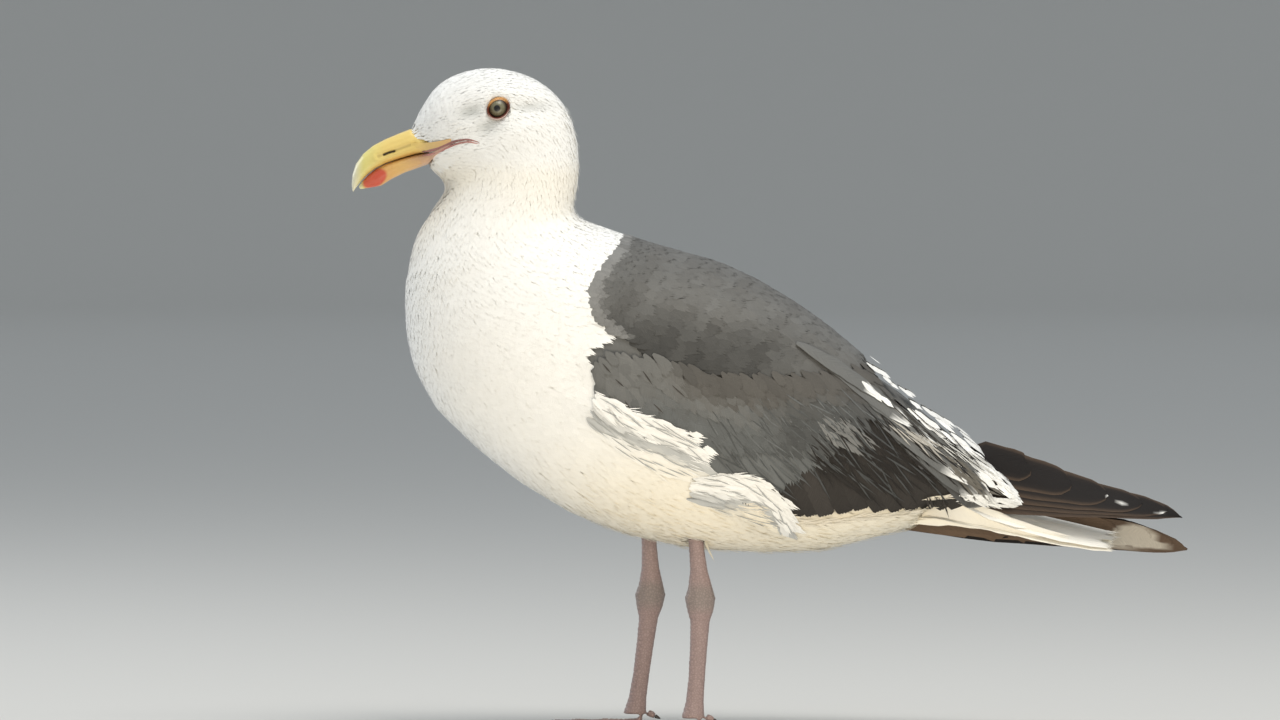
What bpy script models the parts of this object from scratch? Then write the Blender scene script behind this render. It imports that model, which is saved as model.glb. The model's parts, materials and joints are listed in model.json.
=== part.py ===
"""A standing adult western gull at life size.

The bird faces -X with its left side towards -Y and stands on the plane Z = 0.
The origin is the middle of its bounding box, on the floor.  Every size below is
in millimetres; meshes are scaled to metres as they are made.

The trunk, neck and head are one loft.  Each station of the loft is a flat
section that runs from a point on the back to a point on the breast or belly.
The folded wings and the mantle are a shell over that loft, 0.3 mm clear of it.
"""

import math

import bmesh
import bpy
import numpy as np

METRES = 0.001
GAP = 0.3                      # clear space between neighbouring solids

# Colours, as linear RGB
WHITE = (0.86, 0.86, 0.83)
SLATE = (0.16, 0.155, 0.15)
DARK_SLATE = (0.075, 0.068, 0.062)
BLACK_BROWN = (0.030, 0.022, 0.019)
YELLOW = (0.83, 0.62, 0.12)
ORANGE_YELLOW = (0.80, 0.50, 0.16)
PINK_FLESH = (0.52, 0.33, 0.29)
CLAW_HORN = (0.03, 0.025, 0.022)
EYE_OLIVE = (0.20, 0.19, 0.14)

# ---------------------------------------------------------------- body stations
# back x, back z, front x, front z, half width, widest part (0 back, 1 front),
# fullness (2 is an ellipse, more is squarer)
BODY = (
    (-218.5, 367.0, -208.8, 343.2, 9.6, 0.56, 2.3),     # base of the bill
    (-213.5, 378.0, -206.0, 341.0, 13.6, 0.58, 2.2),    # forehead and chin
    (-202.5, 393.8, -202.5, 338.4, 19.5, 0.57, 2.1),
    (-184.0, 402.6, -199.0, 334.0, 23.8, 0.54, 2.05),
    (-162.3, 403.6, -197.8, 330.0, 26.0, 0.50, 2.05),   # crown and throat
    (-138.6, 394.8, -199.6, 326.6, 27.3, 0.48, 2.05),
    (-122.4, 377.0, -204.2, 320.6, 28.2, 0.48, 2.0),    # back of the head
    (-116.2, 352.6, -211.2, 310.6, 31.0, 0.50, 2.0),
    (-116.6, 332.0, -218.6, 295.5, 36.5, 0.50, 2.0),
    (-119.4, 315.0, -223.2, 270.5, 44.0, 0.50, 2.05),   # foot of the neck
    (-103.0, 308.2, -223.2, 246.0, 52.0, 0.48, 2.1),
    (-79.9, 300.0, -219.0, 222.0, 59.0, 0.47, 2.15),
    (-49.4, 291.6, -203.0, 193.0, 65.0, 0.46, 2.2),
    (-25.0, 284.3, -173.4, 165.4, 69.0, 0.46, 2.2),
    (2.4, 270.2, -143.4, 143.0, 71.0, 0.47, 2.2),       # widest across the wings
    (26.8, 254.4, -105.6, 124.0, 70.5, 0.48, 2.2),
    (45.1, 240.3, -58.0, 111.0, 66.0, 0.50, 2.15),
    (60.0, 227.0, -8.0, 107.6, 59.0, 0.52, 2.1),
    (81.7, 209.4, 33.0, 108.8, 50.0, 0.54, 2.1),
    (103.1, 193.6, 67.0, 117.6, 40.5, 0.56, 2.1),
    (121.4, 178.4, 97.0, 124.6, 33.0, 0.58, 2.1),
    (137.0, 164.8, 127.5, 128.2, 27.5, 0.60, 2.1),
    (152.0, 150.0, 150.0, 131.0, 23.5, 0.60, 2.1),
    (168.0, 136.5, 168.0, 130.0, 20.0, 0.60, 2.1),
)
NECK_TOP = 6.35                # station where the head ends
NECK_FOOT = 9.35               # station where the neck ends
RUMP_END = 19.75               # station where the trunk ends and the tail starts
LAST_STATION = len(BODY) - 1
BODY_SIDES = 26                # sides of a ring of the trunk and wings
HEAD_SIDES = 24                # sides of a ring of the head and neck
RING_STEP = 0.86               # stations between two rings of the trunk and wings

WING_PROUD = 1.6               # how far the wing stands out of the trunk's sides
WING_THICK_FRONT = 8.0
WING_THICK_REAR = 4.5

# ---------------------------------------------------------- outlines on the side
MANTLE_FRONT = ((-84.0, 330.0), (-88.0, 303.0), (-94.0, 292.0), (-104.0, 279.0),
                (-108.5, 265.0), (-104.0, 253.5), (-92.0, 243.0))
WRIST = ((-92.0, 243.0), (-108.5, 234.5), (-111.0, 226.5), (-106.0, 212.0))
WING_LOWER_FRONT = ((-106.0, 212.0), (-84.0, 190.0), (-48.0, 165.0), (-6.0, 144.0))
WING_LOWER_REAR = ((-6.0, 144.0), (21.0, 131.5), (62.0, 137.0), (119.0, 139.2),
                   (141.0, 133.2), (160.5, 136.0))
CREASE = ((-92.0, 243.0), (-71.0, 232.6), (-49.0, 224.8), (-25.0, 220.6),
          (5.0, 220.8), (36.0, 221.3), (58.0, 225.0))
MANTLE_REAR = ((58.0, 225.0), (66.0, 232.0), (74.0, 246.0))
COVERT_TIPS = ((58.0, 225.0), (56.0, 203.0), (40.0, 180.0), (16.0, 162.0), (-6.0, 144.0))
TERTIAL_TIPS = ((160.5, 136.0), (154.5, 147.0), (146.0, 156.5), (137.0, 166.0),
                (128.0, 176.0), (118.0, 190.0))
ABOVE_BACK = ((118.0, 230.0), (74.0, 260.0))
ABOVE_MANTLE = ((74.0, 260.0), (20.0, 320.0), (-84.0, 345.0))

# ------------------------------------------------------------------------- head
EYE_X, EYE_Z = -165.6, 379.2
EYE_Y = 18.7
EYE_RADIUS = 6.7
# x, z, radius along x, radius along z, height of the swelling (or hollow)
HEAD_RELIEF = (
    (-166.0, 388.5, 15.0, 4.5, 1.3),     # brow
    (-188.0, 374.0, 11.0, 7.0, -1.5),    # lores
    (-166.0, 369.5, 9.0, 5.0, -0.9),     # under the eye
    (-160.0, 357.0, 18.0, 8.5, 1.4),     # cheek
    (-204.0, 347.0, 8.0, 4.0, 0.5),      # side of the chin
)

BILL_SIDES = 14
# Bill: culmen (or mouth) x, z, mouth (or keel) x, z, half width, widest, fullness
BILL_UPPER = (
    (-197.0, 359.6, -197.0, 356.9, 17.6, 0.5, 2.2),
    (-205.0, 361.2, -204.0, 354.1, 14.9, 0.6, 2.2),
    (-213.0, 365.0, -212.0, 351.9, 11.9, 0.65, 2.2),
    (-219.5, 366.6, -219.0, 350.2, 9.9, 0.66, 2.2),
    (-227.0, 363.7, -226.4, 348.1, 8.6, 0.66, 2.2),
    (-235.0, 360.3, -234.2, 345.6, 7.5, 0.66, 2.2),
    (-242.4, 356.4, -240.6, 342.5, 6.7, 0.64, 2.2),
    (-248.4, 351.4, -245.6, 338.8, 5.9, 0.62, 2.1),
    (-252.8, 345.2, -249.4, 334.8, 4.8, 0.60, 2.1),
    (-254.9, 338.8, -252.0, 331.6, 3.4, 0.55, 2.0),
    (-255.4, 333.0, -253.6, 329.4, 2.0, 0.5, 2.0),
    (-254.9, 329.2, -254.3, 328.0, 0.8, 0.5, 2.0),
)
BILL_LOWER = (
    (-198.0, 356.2, -197.0, 354.6, 17.4, 0.5, 2.2),
    (-204.0, 353.7, -202.0, 350.6, 14.7, 0.45, 2.2),
    (-211.0, 351.8, -208.4, 345.2, 12.0, 0.42, 2.2),
    (-219.0, 349.8, -216.0, 342.4, 9.8, 0.40, 2.2),
    (-226.6, 347.6, -223.4, 339.8, 8.3, 0.38, 2.2),
    (-234.4, 345.0, -231.0, 336.0, 7.0, 0.38, 2.2),
    (-240.4, 342.0, -237.2, 332.0, 6.0, 0.40, 2.2),
    (-245.3, 338.2, -242.0, 331.0, 5.0, 0.42, 2.1),
    (-249.0, 334.4, -246.6, 330.4, 3.6, 0.45, 2.0),
    (-251.2, 331.4, -250.0, 329.8, 1.6, 0.5, 2.0),
)

# ------------------------------------------------------------- flank and feathers
# Swellings of flank feathers over the wing's lower edge:
# x, y, z, semi-axes along, out and up, slope of the long axis in degrees,
# and how far it leans inwards for each millimetre rearwards
FLANK_LOBES = (
    (-84.0, 54.5, 190.0, 47.0, 18.5, 13.0, 22.0, 0.0),
    (-12.0, 41.8, 141.5, 39.0, 18.5, 15.0, 32.0, 0.35),
)
# Folded flight feathers beyond the tertials, as blades:
# x, upper edge y, z, lower edge y, z, thickness (y is away from the middle)
LEFT_PRIMARIES = (
    (115.5, 7.5, 169.5, 23.0, 146.0, 3.6),
    (123.0, 7.0, 171.5, 23.5, 142.5, 3.8),
    (131.0, 6.0, 175.6, 24.5, 137.5, 3.8),
    (146.0, 6.0, 171.3, 25.0, 132.8, 3.6),
    (166.0, 6.0, 163.8, 26.0, 131.6, 3.3),
    (188.0, 7.0, 155.3, 26.0, 131.0, 3.0),
    (208.0, 8.0, 148.9, 25.0, 130.6, 2.6),
    (229.0, 9.0, 143.0, 22.0, 129.8, 2.2),
    (243.0, 11.0, 137.6, 18.5, 129.0, 1.8),
    (250.5, 13.0, 131.2, 15.0, 129.0, 1.2),
)
RIGHT_PRIMARIES = (
    (66.0, 35.0, 136.6, 34.5, 122.5, 3.4),
    (84.0, 34.0, 138.0, 34.5, 119.6, 3.8),
    (104.0, 31.5, 138.6, 34.5, 117.6, 3.8),
    (132.0, 27.5, 138.0, 33.5, 113.8, 3.8),
    (166.0, 19.0, 136.0, 32.0, 111.2, 3.5),
    (194.0, 16.0, 131.0, 30.5, 109.8, 3.1),
    (219.0, 15.5, 127.6, 28.0, 108.3, 2.7),
    (236.0, 15.0, 121.8, 25.0, 106.8, 2.3),
    (249.0, 15.0, 116.8, 21.5, 105.4, 1.9),
    (255.2, 15.5, 111.6, 18.0, 106.4, 1.2),
)
PRIMARY_TIPS = 6               # feather tips that step down a blade's upper edge
PRIMARY_TIP_STEP = 1.1

# Tail: x, z along the middle of the top, sides' drop, thickness, half width
TAIL = (
    (0.0, 150.5, 2.0, 23.0, 26.0),
    (14.0, 144.5, 4.0, 16.0, 26.0),
    (30.0, 139.0, 6.0, 9.5, 25.5),
    (52.0, 133.0, 7.5, 6.0, 25.0),
    (78.0, 127.0, 8.0, 4.0, 25.0),
    (104.0, 121.0, 8.0, 2.6, 24.5),
)
TAIL_TIP_X = 207.0
TAIL_ROUNDING = 5.0            # how much shorter the outer tail feathers are
TAIL_SCALLOPS = 8              # feather ends that show along the tip
SCALLOP_DEPTH = 1.6

# ------------------------------------------------------------------------- legs
LEG_Y = 21.0
# Down the leg: fraction of the bone, half depth, forward shift, half width
SHANK = ((0.0, 4.9, 0.0, 4.2), (0.35, 4.8, 0.0, 3.8), (0.62, 5.5, 0.0, 3.9),
         (0.86, 7.6, 0.2, 4.8), (1.0, 9.5, 0.9, 5.4))
TARSUS = ((0.0, 9.5, 0.9, 5.4), (0.10, 8.2, 0.3, 4.9), (0.19, 6.1, 0.1, 3.9),
          (0.40, 5.5, 0.0, 3.5), (0.66, 5.2, 0.0, 3.4), (0.86, 5.6, 0.3, 3.8),
          (1.0, 7.2, 0.8, 5.6))
HIP_Z = 126.0                  # top of the bare leg, inside the belly feathers
HEEL_Z = 81.5
FOOT_TOP = 8.2
LEFT_LEG = {"side": -1, "hip_x": -46.5, "heel_x": -42.0, "foot_x": -46.5}
RIGHT_LEG = {"side": 1, "hip_x": -74.5, "heel_x": -72.3, "foot_x": -82.0}
# Toes: length, angle from straight ahead (outwards is positive), half width
TOES = {"inner": (46.0, -27.0, 2.8), "middle": (58.0, -1.0, 3.1), "outer": (54.0, 25.0, 2.8)}
CLAW_LENGTH = {"inner": 6.5, "middle": 8.0, "outer": 6.0}
TOE_HEIGHT = 5.6
TOE_TIP_HEIGHT = 3.4
WEB_THICK = 1.1
WEB_LIFT = 0.5
HALLUX_LENGTH = 7.5
HEEL_BACK = 5.5                # how far the foot's pad runs behind the leg
HEEL_HALF = 5.0                # half the pad's width there
TOE_PARTING = 0.3              # share of a toe's length where it leaves the pad


# ---------------------------------------------------------------------- curves
def spline(rows, at):
    """Rows read at the given fractional row numbers on a smooth curve."""
    rows = np.asarray(rows, float)
    at = np.atleast_1d(np.asarray(at, float))
    slope = np.gradient(rows, axis=0)
    low = np.clip(np.floor(at).astype(int), 0, len(rows) - 2)
    t = (at - low)[:, None]
    start, end = rows[low], rows[low + 1]
    return ((2 * t**3 - 3 * t**2 + 1) * start + (t**3 - 2 * t**2 + t) * slope[low]
            + (3 * t**2 - 2 * t**3) * end + (t**3 - t**2) * slope[low + 1])


def smooth_path(points, per_span=4):
    """A smooth path through the points, ends included."""
    count = (len(points) - 1) * per_span + 1
    return spline(points, np.linspace(0, len(points) - 1, count))


def scalloped(path, tips, depth):
    """A path that bulges out to its left in rounded feather tips."""
    path = np.asarray(path, float)
    along = np.gradient(path, axis=0)
    along /= np.linalg.norm(along, axis=1)[:, None]
    outward = np.column_stack([along[:, 1], -along[:, 0]])
    phase = np.linspace(0, tips, len(path)) % 1.0
    phase[-1] = 0
    return path + outward * (depth * np.sin(math.pi * phase) ** 0.7)[:, None]


def outline(*paths):
    """One closed outline from paths that meet end to end."""
    points = []
    for path in paths:
        for point in path:
            if not points or np.linalg.norm(np.subtract(point, points[-1])) > 0.05:
                points.append(np.asarray(point, float))
    if np.linalg.norm(points[0] - points[-1]) < 0.05:
        points.pop()
    return np.array(points)


def grown(points, by):
    """A closed outline moved outwards by a distance."""
    before = points - np.roll(points, 1, axis=0)
    after = np.roll(points, -1, axis=0) - points
    before /= np.linalg.norm(before, axis=1)[:, None]
    after /= np.linalg.norm(after, axis=1)[:, None]
    tangent = before + after
    tangent /= np.linalg.norm(tangent, axis=1)[:, None]
    normal = np.column_stack([tangent[:, 1], -tangent[:, 0]])
    following = np.roll(points, -1, axis=0)
    area = np.sum(points[:, 0] * following[:, 1] - following[:, 0] * points[:, 1])
    return points + normal * by * (1 if area > 0 else -1)


# ---------------------------------------------------------------------- meshes
def make_object(name, vertices, faces):
    """A closed mesh object from points in millimetres."""
    mesh = bpy.data.meshes.new(name)
    scaled = [tuple(float(c) * METRES for c in v) for v in vertices]
    mesh.from_pydata(scaled, [], [tuple(f) for f in faces])
    solid = bmesh.new()
    solid.from_mesh(mesh)
    bmesh.ops.recalc_face_normals(solid, faces=solid.faces)
    bmesh.ops.triangulate(solid, faces=solid.faces)
    solid.to_mesh(mesh)
    solid.free()
    made = bpy.data.objects.new(name, mesh)
    bpy.context.scene.collection.objects.link(made)
    return made


def loft(name, rings):
    """A solid through rings of equal length, closed with flat ends."""
    rings = [np.asarray(r, float) for r in rings]
    sides = len(rings[0])
    faces = []
    for i in range(len(rings) - 1):
        for j in range(sides):
            k = (j + 1) % sides
            faces.append((i * sides + j, i * sides + k, (i + 1) * sides + k, (i + 1) * sides + j))
    faces.append(tuple(range(sides)))
    faces.append(tuple(range((len(rings) - 1) * sides, len(rings) * sides)))
    return make_object(name, np.vstack(rings), faces)


def prism(name, side_outline, y_from, y_to):
    """An outline in the side view, extruded across the bird."""
    count = len(side_outline)
    near = [(x, y_from, z) for x, z in side_outline]
    far = [(x, y_to, z) for x, z in side_outline]
    faces = [(i, (i + 1) % count, count + (i + 1) % count, count + i) for i in range(count)]
    faces.append(tuple(range(count)))
    faces.append(tuple(range(count, 2 * count)))
    return make_object(name, near + far, faces)


def ball(name, centre, radii, slope=0.0, rings=10, sides=16, lean=0.0):
    """An ellipsoid whose long axis slopes down towards +X by some degrees."""
    cos, sin = math.cos(math.radians(slope)), math.sin(math.radians(slope))
    vertices, faces = [], []

    def place(x, y, z):
        vertices.append((centre[0] + x * cos + z * sin, centre[1] + y + lean * x,
                         centre[2] - x * sin + z * cos))

    place(-radii[0], 0, 0)
    for i in range(1, rings):
        a = math.pi * i / rings
        for j in range(sides):
            b = 2 * math.pi * (j + 0.5) / sides
            place(-radii[0] * math.cos(a), radii[1] * math.sin(a) * math.cos(b),
                  radii[2] * math.sin(a) * math.sin(b))
    place(radii[0], 0, 0)
    last = len(vertices) - 1
    for j in range(sides):
        k = (j + 1) % sides
        faces.append((0, 1 + j, 1 + k))
        faces.append((last, last - sides + k, last - sides + j))
        for i in range(rings - 2):
            a, b = 1 + i * sides, 1 + (i + 1) * sides
            faces.append((a + j, b + j, b + k, a + k))
    return make_object(name, vertices, faces)


def combine(target, other, operation):
    """Apply a Boolean to the target and remove the other object."""
    modifier = target.modifiers.new("combine", "BOOLEAN")
    modifier.operation = operation
    modifier.solver = "EXACT"
    modifier.object = other
    bpy.context.view_layer.update()
    evaluated = target.evaluated_get(bpy.context.evaluated_depsgraph_get())
    result = bpy.data.meshes.new_from_object(evaluated)
    target.modifiers.clear()
    old = target.data
    target.data = result
    bpy.data.meshes.remove(old)
    bpy.data.objects.remove(other)
    return target


def cut(target, *others):
    for other in others:
        combine(target, other, "DIFFERENCE")
    return target


def join(target, *others):
    for other in others:
        combine(target, other, "UNION")
    return target


def tidy(target):
    """Remove slivers and needless edges that a Boolean leaves behind."""
    for distance in (0.00003, 0.00001, 0.000002):
        solid = bmesh.new()
        solid.from_mesh(target.data)
        bmesh.ops.remove_doubles(solid, verts=solid.verts, dist=distance)
        bmesh.ops.dissolve_degenerate(solid, dist=distance, edges=solid.edges)
        bmesh.ops.dissolve_limit(solid, angle_limit=math.radians(1.2), verts=solid.verts,
                                 edges=solid.edges, use_dissolve_boundaries=False)
        bmesh.ops.triangulate(solid, faces=solid.faces)
        bmesh.ops.recalc_face_normals(solid, faces=solid.faces)
        closed = all(edge.is_manifold for edge in solid.edges)
        if closed:
            solid.to_mesh(target.data)
        solid.free()
        if closed:
            return


def finish(target, colour, roughness=0.8):
    """Give a node its material and smooth shading."""
    material = bpy.data.materials.new(target.name)
    material.use_nodes = True
    shader = material.node_tree.nodes["Principled BSDF"]
    shader.inputs["Base Color"].default_value = (*colour, 1.0)
    shader.inputs["Roughness"].default_value = roughness
    target.data.name = target.name
    target.data.materials.clear()
    target.data.materials.append(material)
    target.data.shade_smooth()
    target.data.set_sharp_from_angle(angle=math.radians(40))
    return target


# ------------------------------------------------------------------ body sections
def section(row, sides, inset=(0.0, 0.0, 0.0)):
    """One flat ring of a loft; inset is back, sides and front, in mm."""
    back, front = np.array(row[0:2]), np.array(row[2:4])
    width, widest, fullness = row[4:7]
    chord = front - back
    length = np.linalg.norm(chord)
    back, front = back + chord * inset[0] / length, front - chord * inset[2] / length
    angle = 2 * math.pi * np.arange(sides) / sides
    power = 2.0 / fullness
    down = -np.sign(np.cos(angle)) * np.abs(np.cos(angle)) ** power
    across = np.sign(np.sin(angle)) * np.abs(np.sin(angle)) ** power
    share = np.where(down < 0, widest * (1 + down), widest + (1 - widest) * down)
    middle = back + (front - back) * share[:, None]
    return np.column_stack([middle[:, 0], across * (width - inset[1]), middle[:, 1]])


def body_rings(first, last, count, sides, inset=(0.0, 0.0, 0.0)):
    rows = spline(BODY, np.linspace(first, last, count))
    return [section(row, sides, inset) for row in rows]


def shared_stations(first, last):
    """Stations at the same places for every form of the trunk and wings."""
    inner = [s for s in np.arange(NECK_FOOT, LAST_STATION, RING_STEP) if first < s < last]
    return [first, *inner, last]


def station_after(station, sides=24):
    """The station whose ring is one gap behind the given one."""
    ring = section(spline(BODY, station)[0], sides)
    following = station
    while True:
        following += 0.002
        distance = np.linalg.norm(section(spline(BODY, following)[0], sides) - ring, axis=1)
        if distance.min() >= GAP:
            return following


def head():
    """Head, from the bill's feather edge to the top of the neck."""
    made = loft("head", body_rings(0, NECK_TOP, 16, HEAD_SIDES))
    for vertex in made.data.vertices:
        x, y, z = (c / METRES for c in vertex.co)
        swell = sum(height * math.exp(-((x - cx) / rx) ** 2 - ((z - cz) / rz) ** 2)
                    for cx, cz, rx, rz, height in HEAD_RELIEF)
        if abs(y) > 1.0:
            vertex.co.y += math.copysign(swell, y) * min(abs(y) / 12.0, 1.0) * METRES
    cut(made, bill_part("upper", BILL_UPPER, GAP), bill_part("lower", BILL_LOWER, GAP))
    for side in (-1, 1):
        socket = EYE_RADIUS + 3 * GAP
        cut(made, ball("socket", (EYE_X, side * EYE_Y, EYE_Z), (socket,) * 3, 0, 8, 12))
        cut(made, ball("lids", (EYE_X, side * (EYE_Y + 6.6), EYE_Z), (7.3, 2.6, 6.6), 0, 6, 14))
    tidy(made)
    return finish(made, WHITE)


def bill_part(name, rows, grow=0.0):
    rings = [section(row, BILL_SIDES, (-grow, -grow, -grow)) for row in np.array(rows)]
    if grow:
        rings[0] = rings[0] + np.array([1.0, 0.0, 0.0]) * grow
    return loft(name, rings)


def eye(side):
    name = "eye_left" if side < 0 else "eye_right"
    made = ball(name, (EYE_X, side * EYE_Y, EYE_Z), (EYE_RADIUS,) * 3, 0, 8, 12)
    return finish(made, EYE_OLIVE, 0.1)


# ------------------------------------------------------------------ trunk and wings
def cover_outlines():
    """Side outlines of the whole cover and of its three parts."""
    front, wrist = smooth_path(MANTLE_FRONT, 3), smooth_path(WRIST, 3)
    low_front, low_rear = smooth_path(WING_LOWER_FRONT, 3), smooth_path(WING_LOWER_REAR, 4)
    crease, mantle_rear = smooth_path(CREASE, 2), smooth_path(MANTLE_REAR, 2)
    tips = scalloped(smooth_path(COVERT_TIPS, 5)[::-1], 7, 2.2)
    rear = scalloped(smooth_path(TERTIAL_TIPS, 4), 5, 1.8)
    return {
        "whole": outline(front, wrist, low_front, low_rear, rear, ABOVE_BACK, ABOVE_MANTLE),
        "mantle": outline(front, crease, mantle_rear, ABOVE_MANTLE),
        "coverts": outline(wrist, low_front, tips, crease[::-1]),
        "secondaries": outline(low_rear, rear, ABOVE_BACK, mantle_rear[::-1], tips[::-1]),
    }


def under_wings(name, last, extra=0.0):
    """The space under the feathers of the back and wings, which thin rearwards."""
    rings = []
    for row in spline(BODY, shared_stations(NECK_FOOT + 0.4, last)):
        share = np.clip((row[0] + 118.0) / 280.0, 0, 1)
        height = math.hypot(row[2] - row[0], row[3] - row[1])
        thick = WING_THICK_FRONT + (WING_THICK_REAR - WING_THICK_FRONT) * share
        thick = min(thick, 0.4 * height) + extra
        rings.append(section(row, BODY_SIDES, (thick, thick, min(3.0, 0.2 * height) + extra)))
    return loft(name, rings)


def flank_lobe(side, lobe, grow=0.0):
    x, y, z, along, out, up, slope, lean = lobe
    radii = (along + grow, out + grow, up + grow)
    return ball("lobe", (x, side * y, z), radii, slope, 9, 14, -side * lean)


def trunk(outlines):
    rows = spline(BODY, shared_stations(station_after(NECK_FOOT), RUMP_END))
    made = loft("trunk", [section(row, BODY_SIDES, (0, WING_PROUD, 0)) for row in rows])
    cut(made, prism("cover", grown(outlines["whole"], GAP / 2), -120, 120))
    join(made, under_wings("core", RUMP_END - 0.02, GAP))
    for side in (-1, 1):
        for lobe in FLANK_LOBES:
            join(made, flank_lobe(side, lobe))
    for leg in (LEFT_LEG, RIGHT_LEG):
        cut(made, shank("socket", leg, GAP))
    cut(made, blade("slot", RIGHT_PRIMARIES, 1, GAP))
    tidy(made)
    return finish(made, WHITE)


def cover_piece(name, side_outline, y_from, y_to, proud, colour):
    """A part of the shell of feathers over the back and sides."""
    rows = spline(BODY, shared_stations(NECK_FOOT, LAST_STATION))
    made = loft(name, [section(row, BODY_SIDES, (0, -proud, 0)) for row in rows])
    combine(made, prism("side", grown(side_outline, -GAP / 2), y_from, y_to), "INTERSECT")
    cut(made, under_wings("hollow", LAST_STATION))
    if name.startswith("wing"):
        side, slot = (-1, LEFT_PRIMARIES) if y_from < -1 else (1, RIGHT_PRIMARIES)
        for lobe in FLANK_LOBES:
            cut(made, flank_lobe(side, lobe, GAP))
        cut(made, blade("slot", slot, side, GAP), tail_form("tail slot", GAP))
    tidy(made)
    return finish(made, colour)


def blade(name, rows, side, grow=0.0):
    """The folded primaries of one wing, tips stepping down the upper edge."""
    rows = np.asarray(rows)
    stations = np.linspace(0, len(rows) - 1, 2 * PRIMARY_TIPS + 3)
    rings = []
    for i, row in enumerate(spline(rows, stations)):
        x, upper_y, upper_z, lower_y, lower_z, thick = row
        upper, lower = np.array([upper_y, upper_z]), np.array([lower_y, lower_z])
        edge = (upper - lower) / np.linalg.norm(upper - lower)
        notch = PRIMARY_TIP_STEP * (i % 2 if 4 < i < len(stations) - 1 else 0)
        upper = upper + edge * (grow - notch)
        lower = lower - edge * grow
        out = np.array([-edge[1], edge[0]]) * (-1)
        if grow and i in (0, len(stations) - 1):
            x += grow if i else -grow
        ring = []
        for face in (1, -1):
            for share in (0.0, 0.2, 0.8, 1.0)[::face]:
                bulge = 0.5 * thick * (1.0 - 0.6 * abs(2 * share - 1) ** 3) + grow
                ring.append(lower + (upper - lower) * share + face * out * bulge)
        rings.append([(x, side * y, z) for y, z in ring])
    return loft(name, rings)


def primaries(name, rows, side):
    made = blade(name, rows, side)
    return finish(made, BLACK_BROWN)


def tail_form(name, grow=0.0):
    """Closed tail: an arched fan whose feathers end in shallow scallops."""
    plane = section(spline(BODY, RUMP_END)[0], 4)
    back, front = plane[0], plane[2]
    lean = (back[0] - front[0]) / (back[2] - front[2])
    across = np.linspace(-1, 1, 2 * TAIL_SCALLOPS + 1)
    rings = []
    for share in np.linspace(0, 1, 6):
        row = spline(TAIL, share * (len(TAIL) - 1))[0]
        along, middle_z, drop, thick, half = row
        top, bottom = [], []
        for v in across:
            scallop = SCALLOP_DEPTH * abs(math.cos(math.pi * TAIL_SCALLOPS * (v + 1) / 2))
            end = TAIL_TIP_X - TAIL_ROUNDING * v * v - scallop
            for level, points in ((-grow, top), (thick * (1 - 0.25 * v * v) + grow, bottom)):
                z = middle_z - drop * v * v - level
                start = front[0] + lean * (z - front[2]) + GAP
                points.append((start + (end - start) * along / TAIL[-1][0], (half + grow) * v, z))
        rings.append(top + bottom[::-1])
    return loft(name, rings)


# ------------------------------------------------------------------------- legs
def limb(name, profile, top, bottom, y, grow=0.0, lift=0.0):
    """A leg bone with its flesh between two points of the side view."""
    sides = 10
    rings = []
    for row in profile:
        share, depth, forward, width = row
        x = top[0] + (bottom[0] - top[0]) * share - forward
        z = top[1] + (bottom[1] - top[1]) * share
        angle = 2 * math.pi * np.arange(sides) / sides
        rings.append([(x + (depth + grow) * math.cos(a), y + (width + grow) * math.sin(a), z)
                      for a in angle])
    if lift:
        rings[0] = [(x, y, z + lift) for x, y, z in rings[0]]
    return loft(name, rings)


def side_name(part, leg):
    return part + ("_left" if leg["side"] < 0 else "_right")


def shank(name, leg, grow=0.0):
    return limb(name, SHANK, (leg["hip_x"], HIP_Z), (leg["heel_x"], HEEL_Z),
                leg["side"] * LEG_Y, grow, grow)


def tarsus(leg):
    return limb(side_name("tarsus", leg), TARSUS, (leg["heel_x"], HEEL_Z - GAP),
                (leg["foot_x"], FOOT_TOP), leg["side"] * LEG_Y)


def toe_line(leg, toe):
    """Start and end of a toe's middle line in the top view, and its direction."""
    length, angle, half = TOES[toe]
    turn = math.radians(angle) * leg["side"]
    ahead = np.array([-math.cos(turn), math.sin(turn)])
    hub = np.array([leg["foot_x"] - 1.5, leg["side"] * LEG_Y])
    return hub, hub + ahead * length, ahead, half


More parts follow.
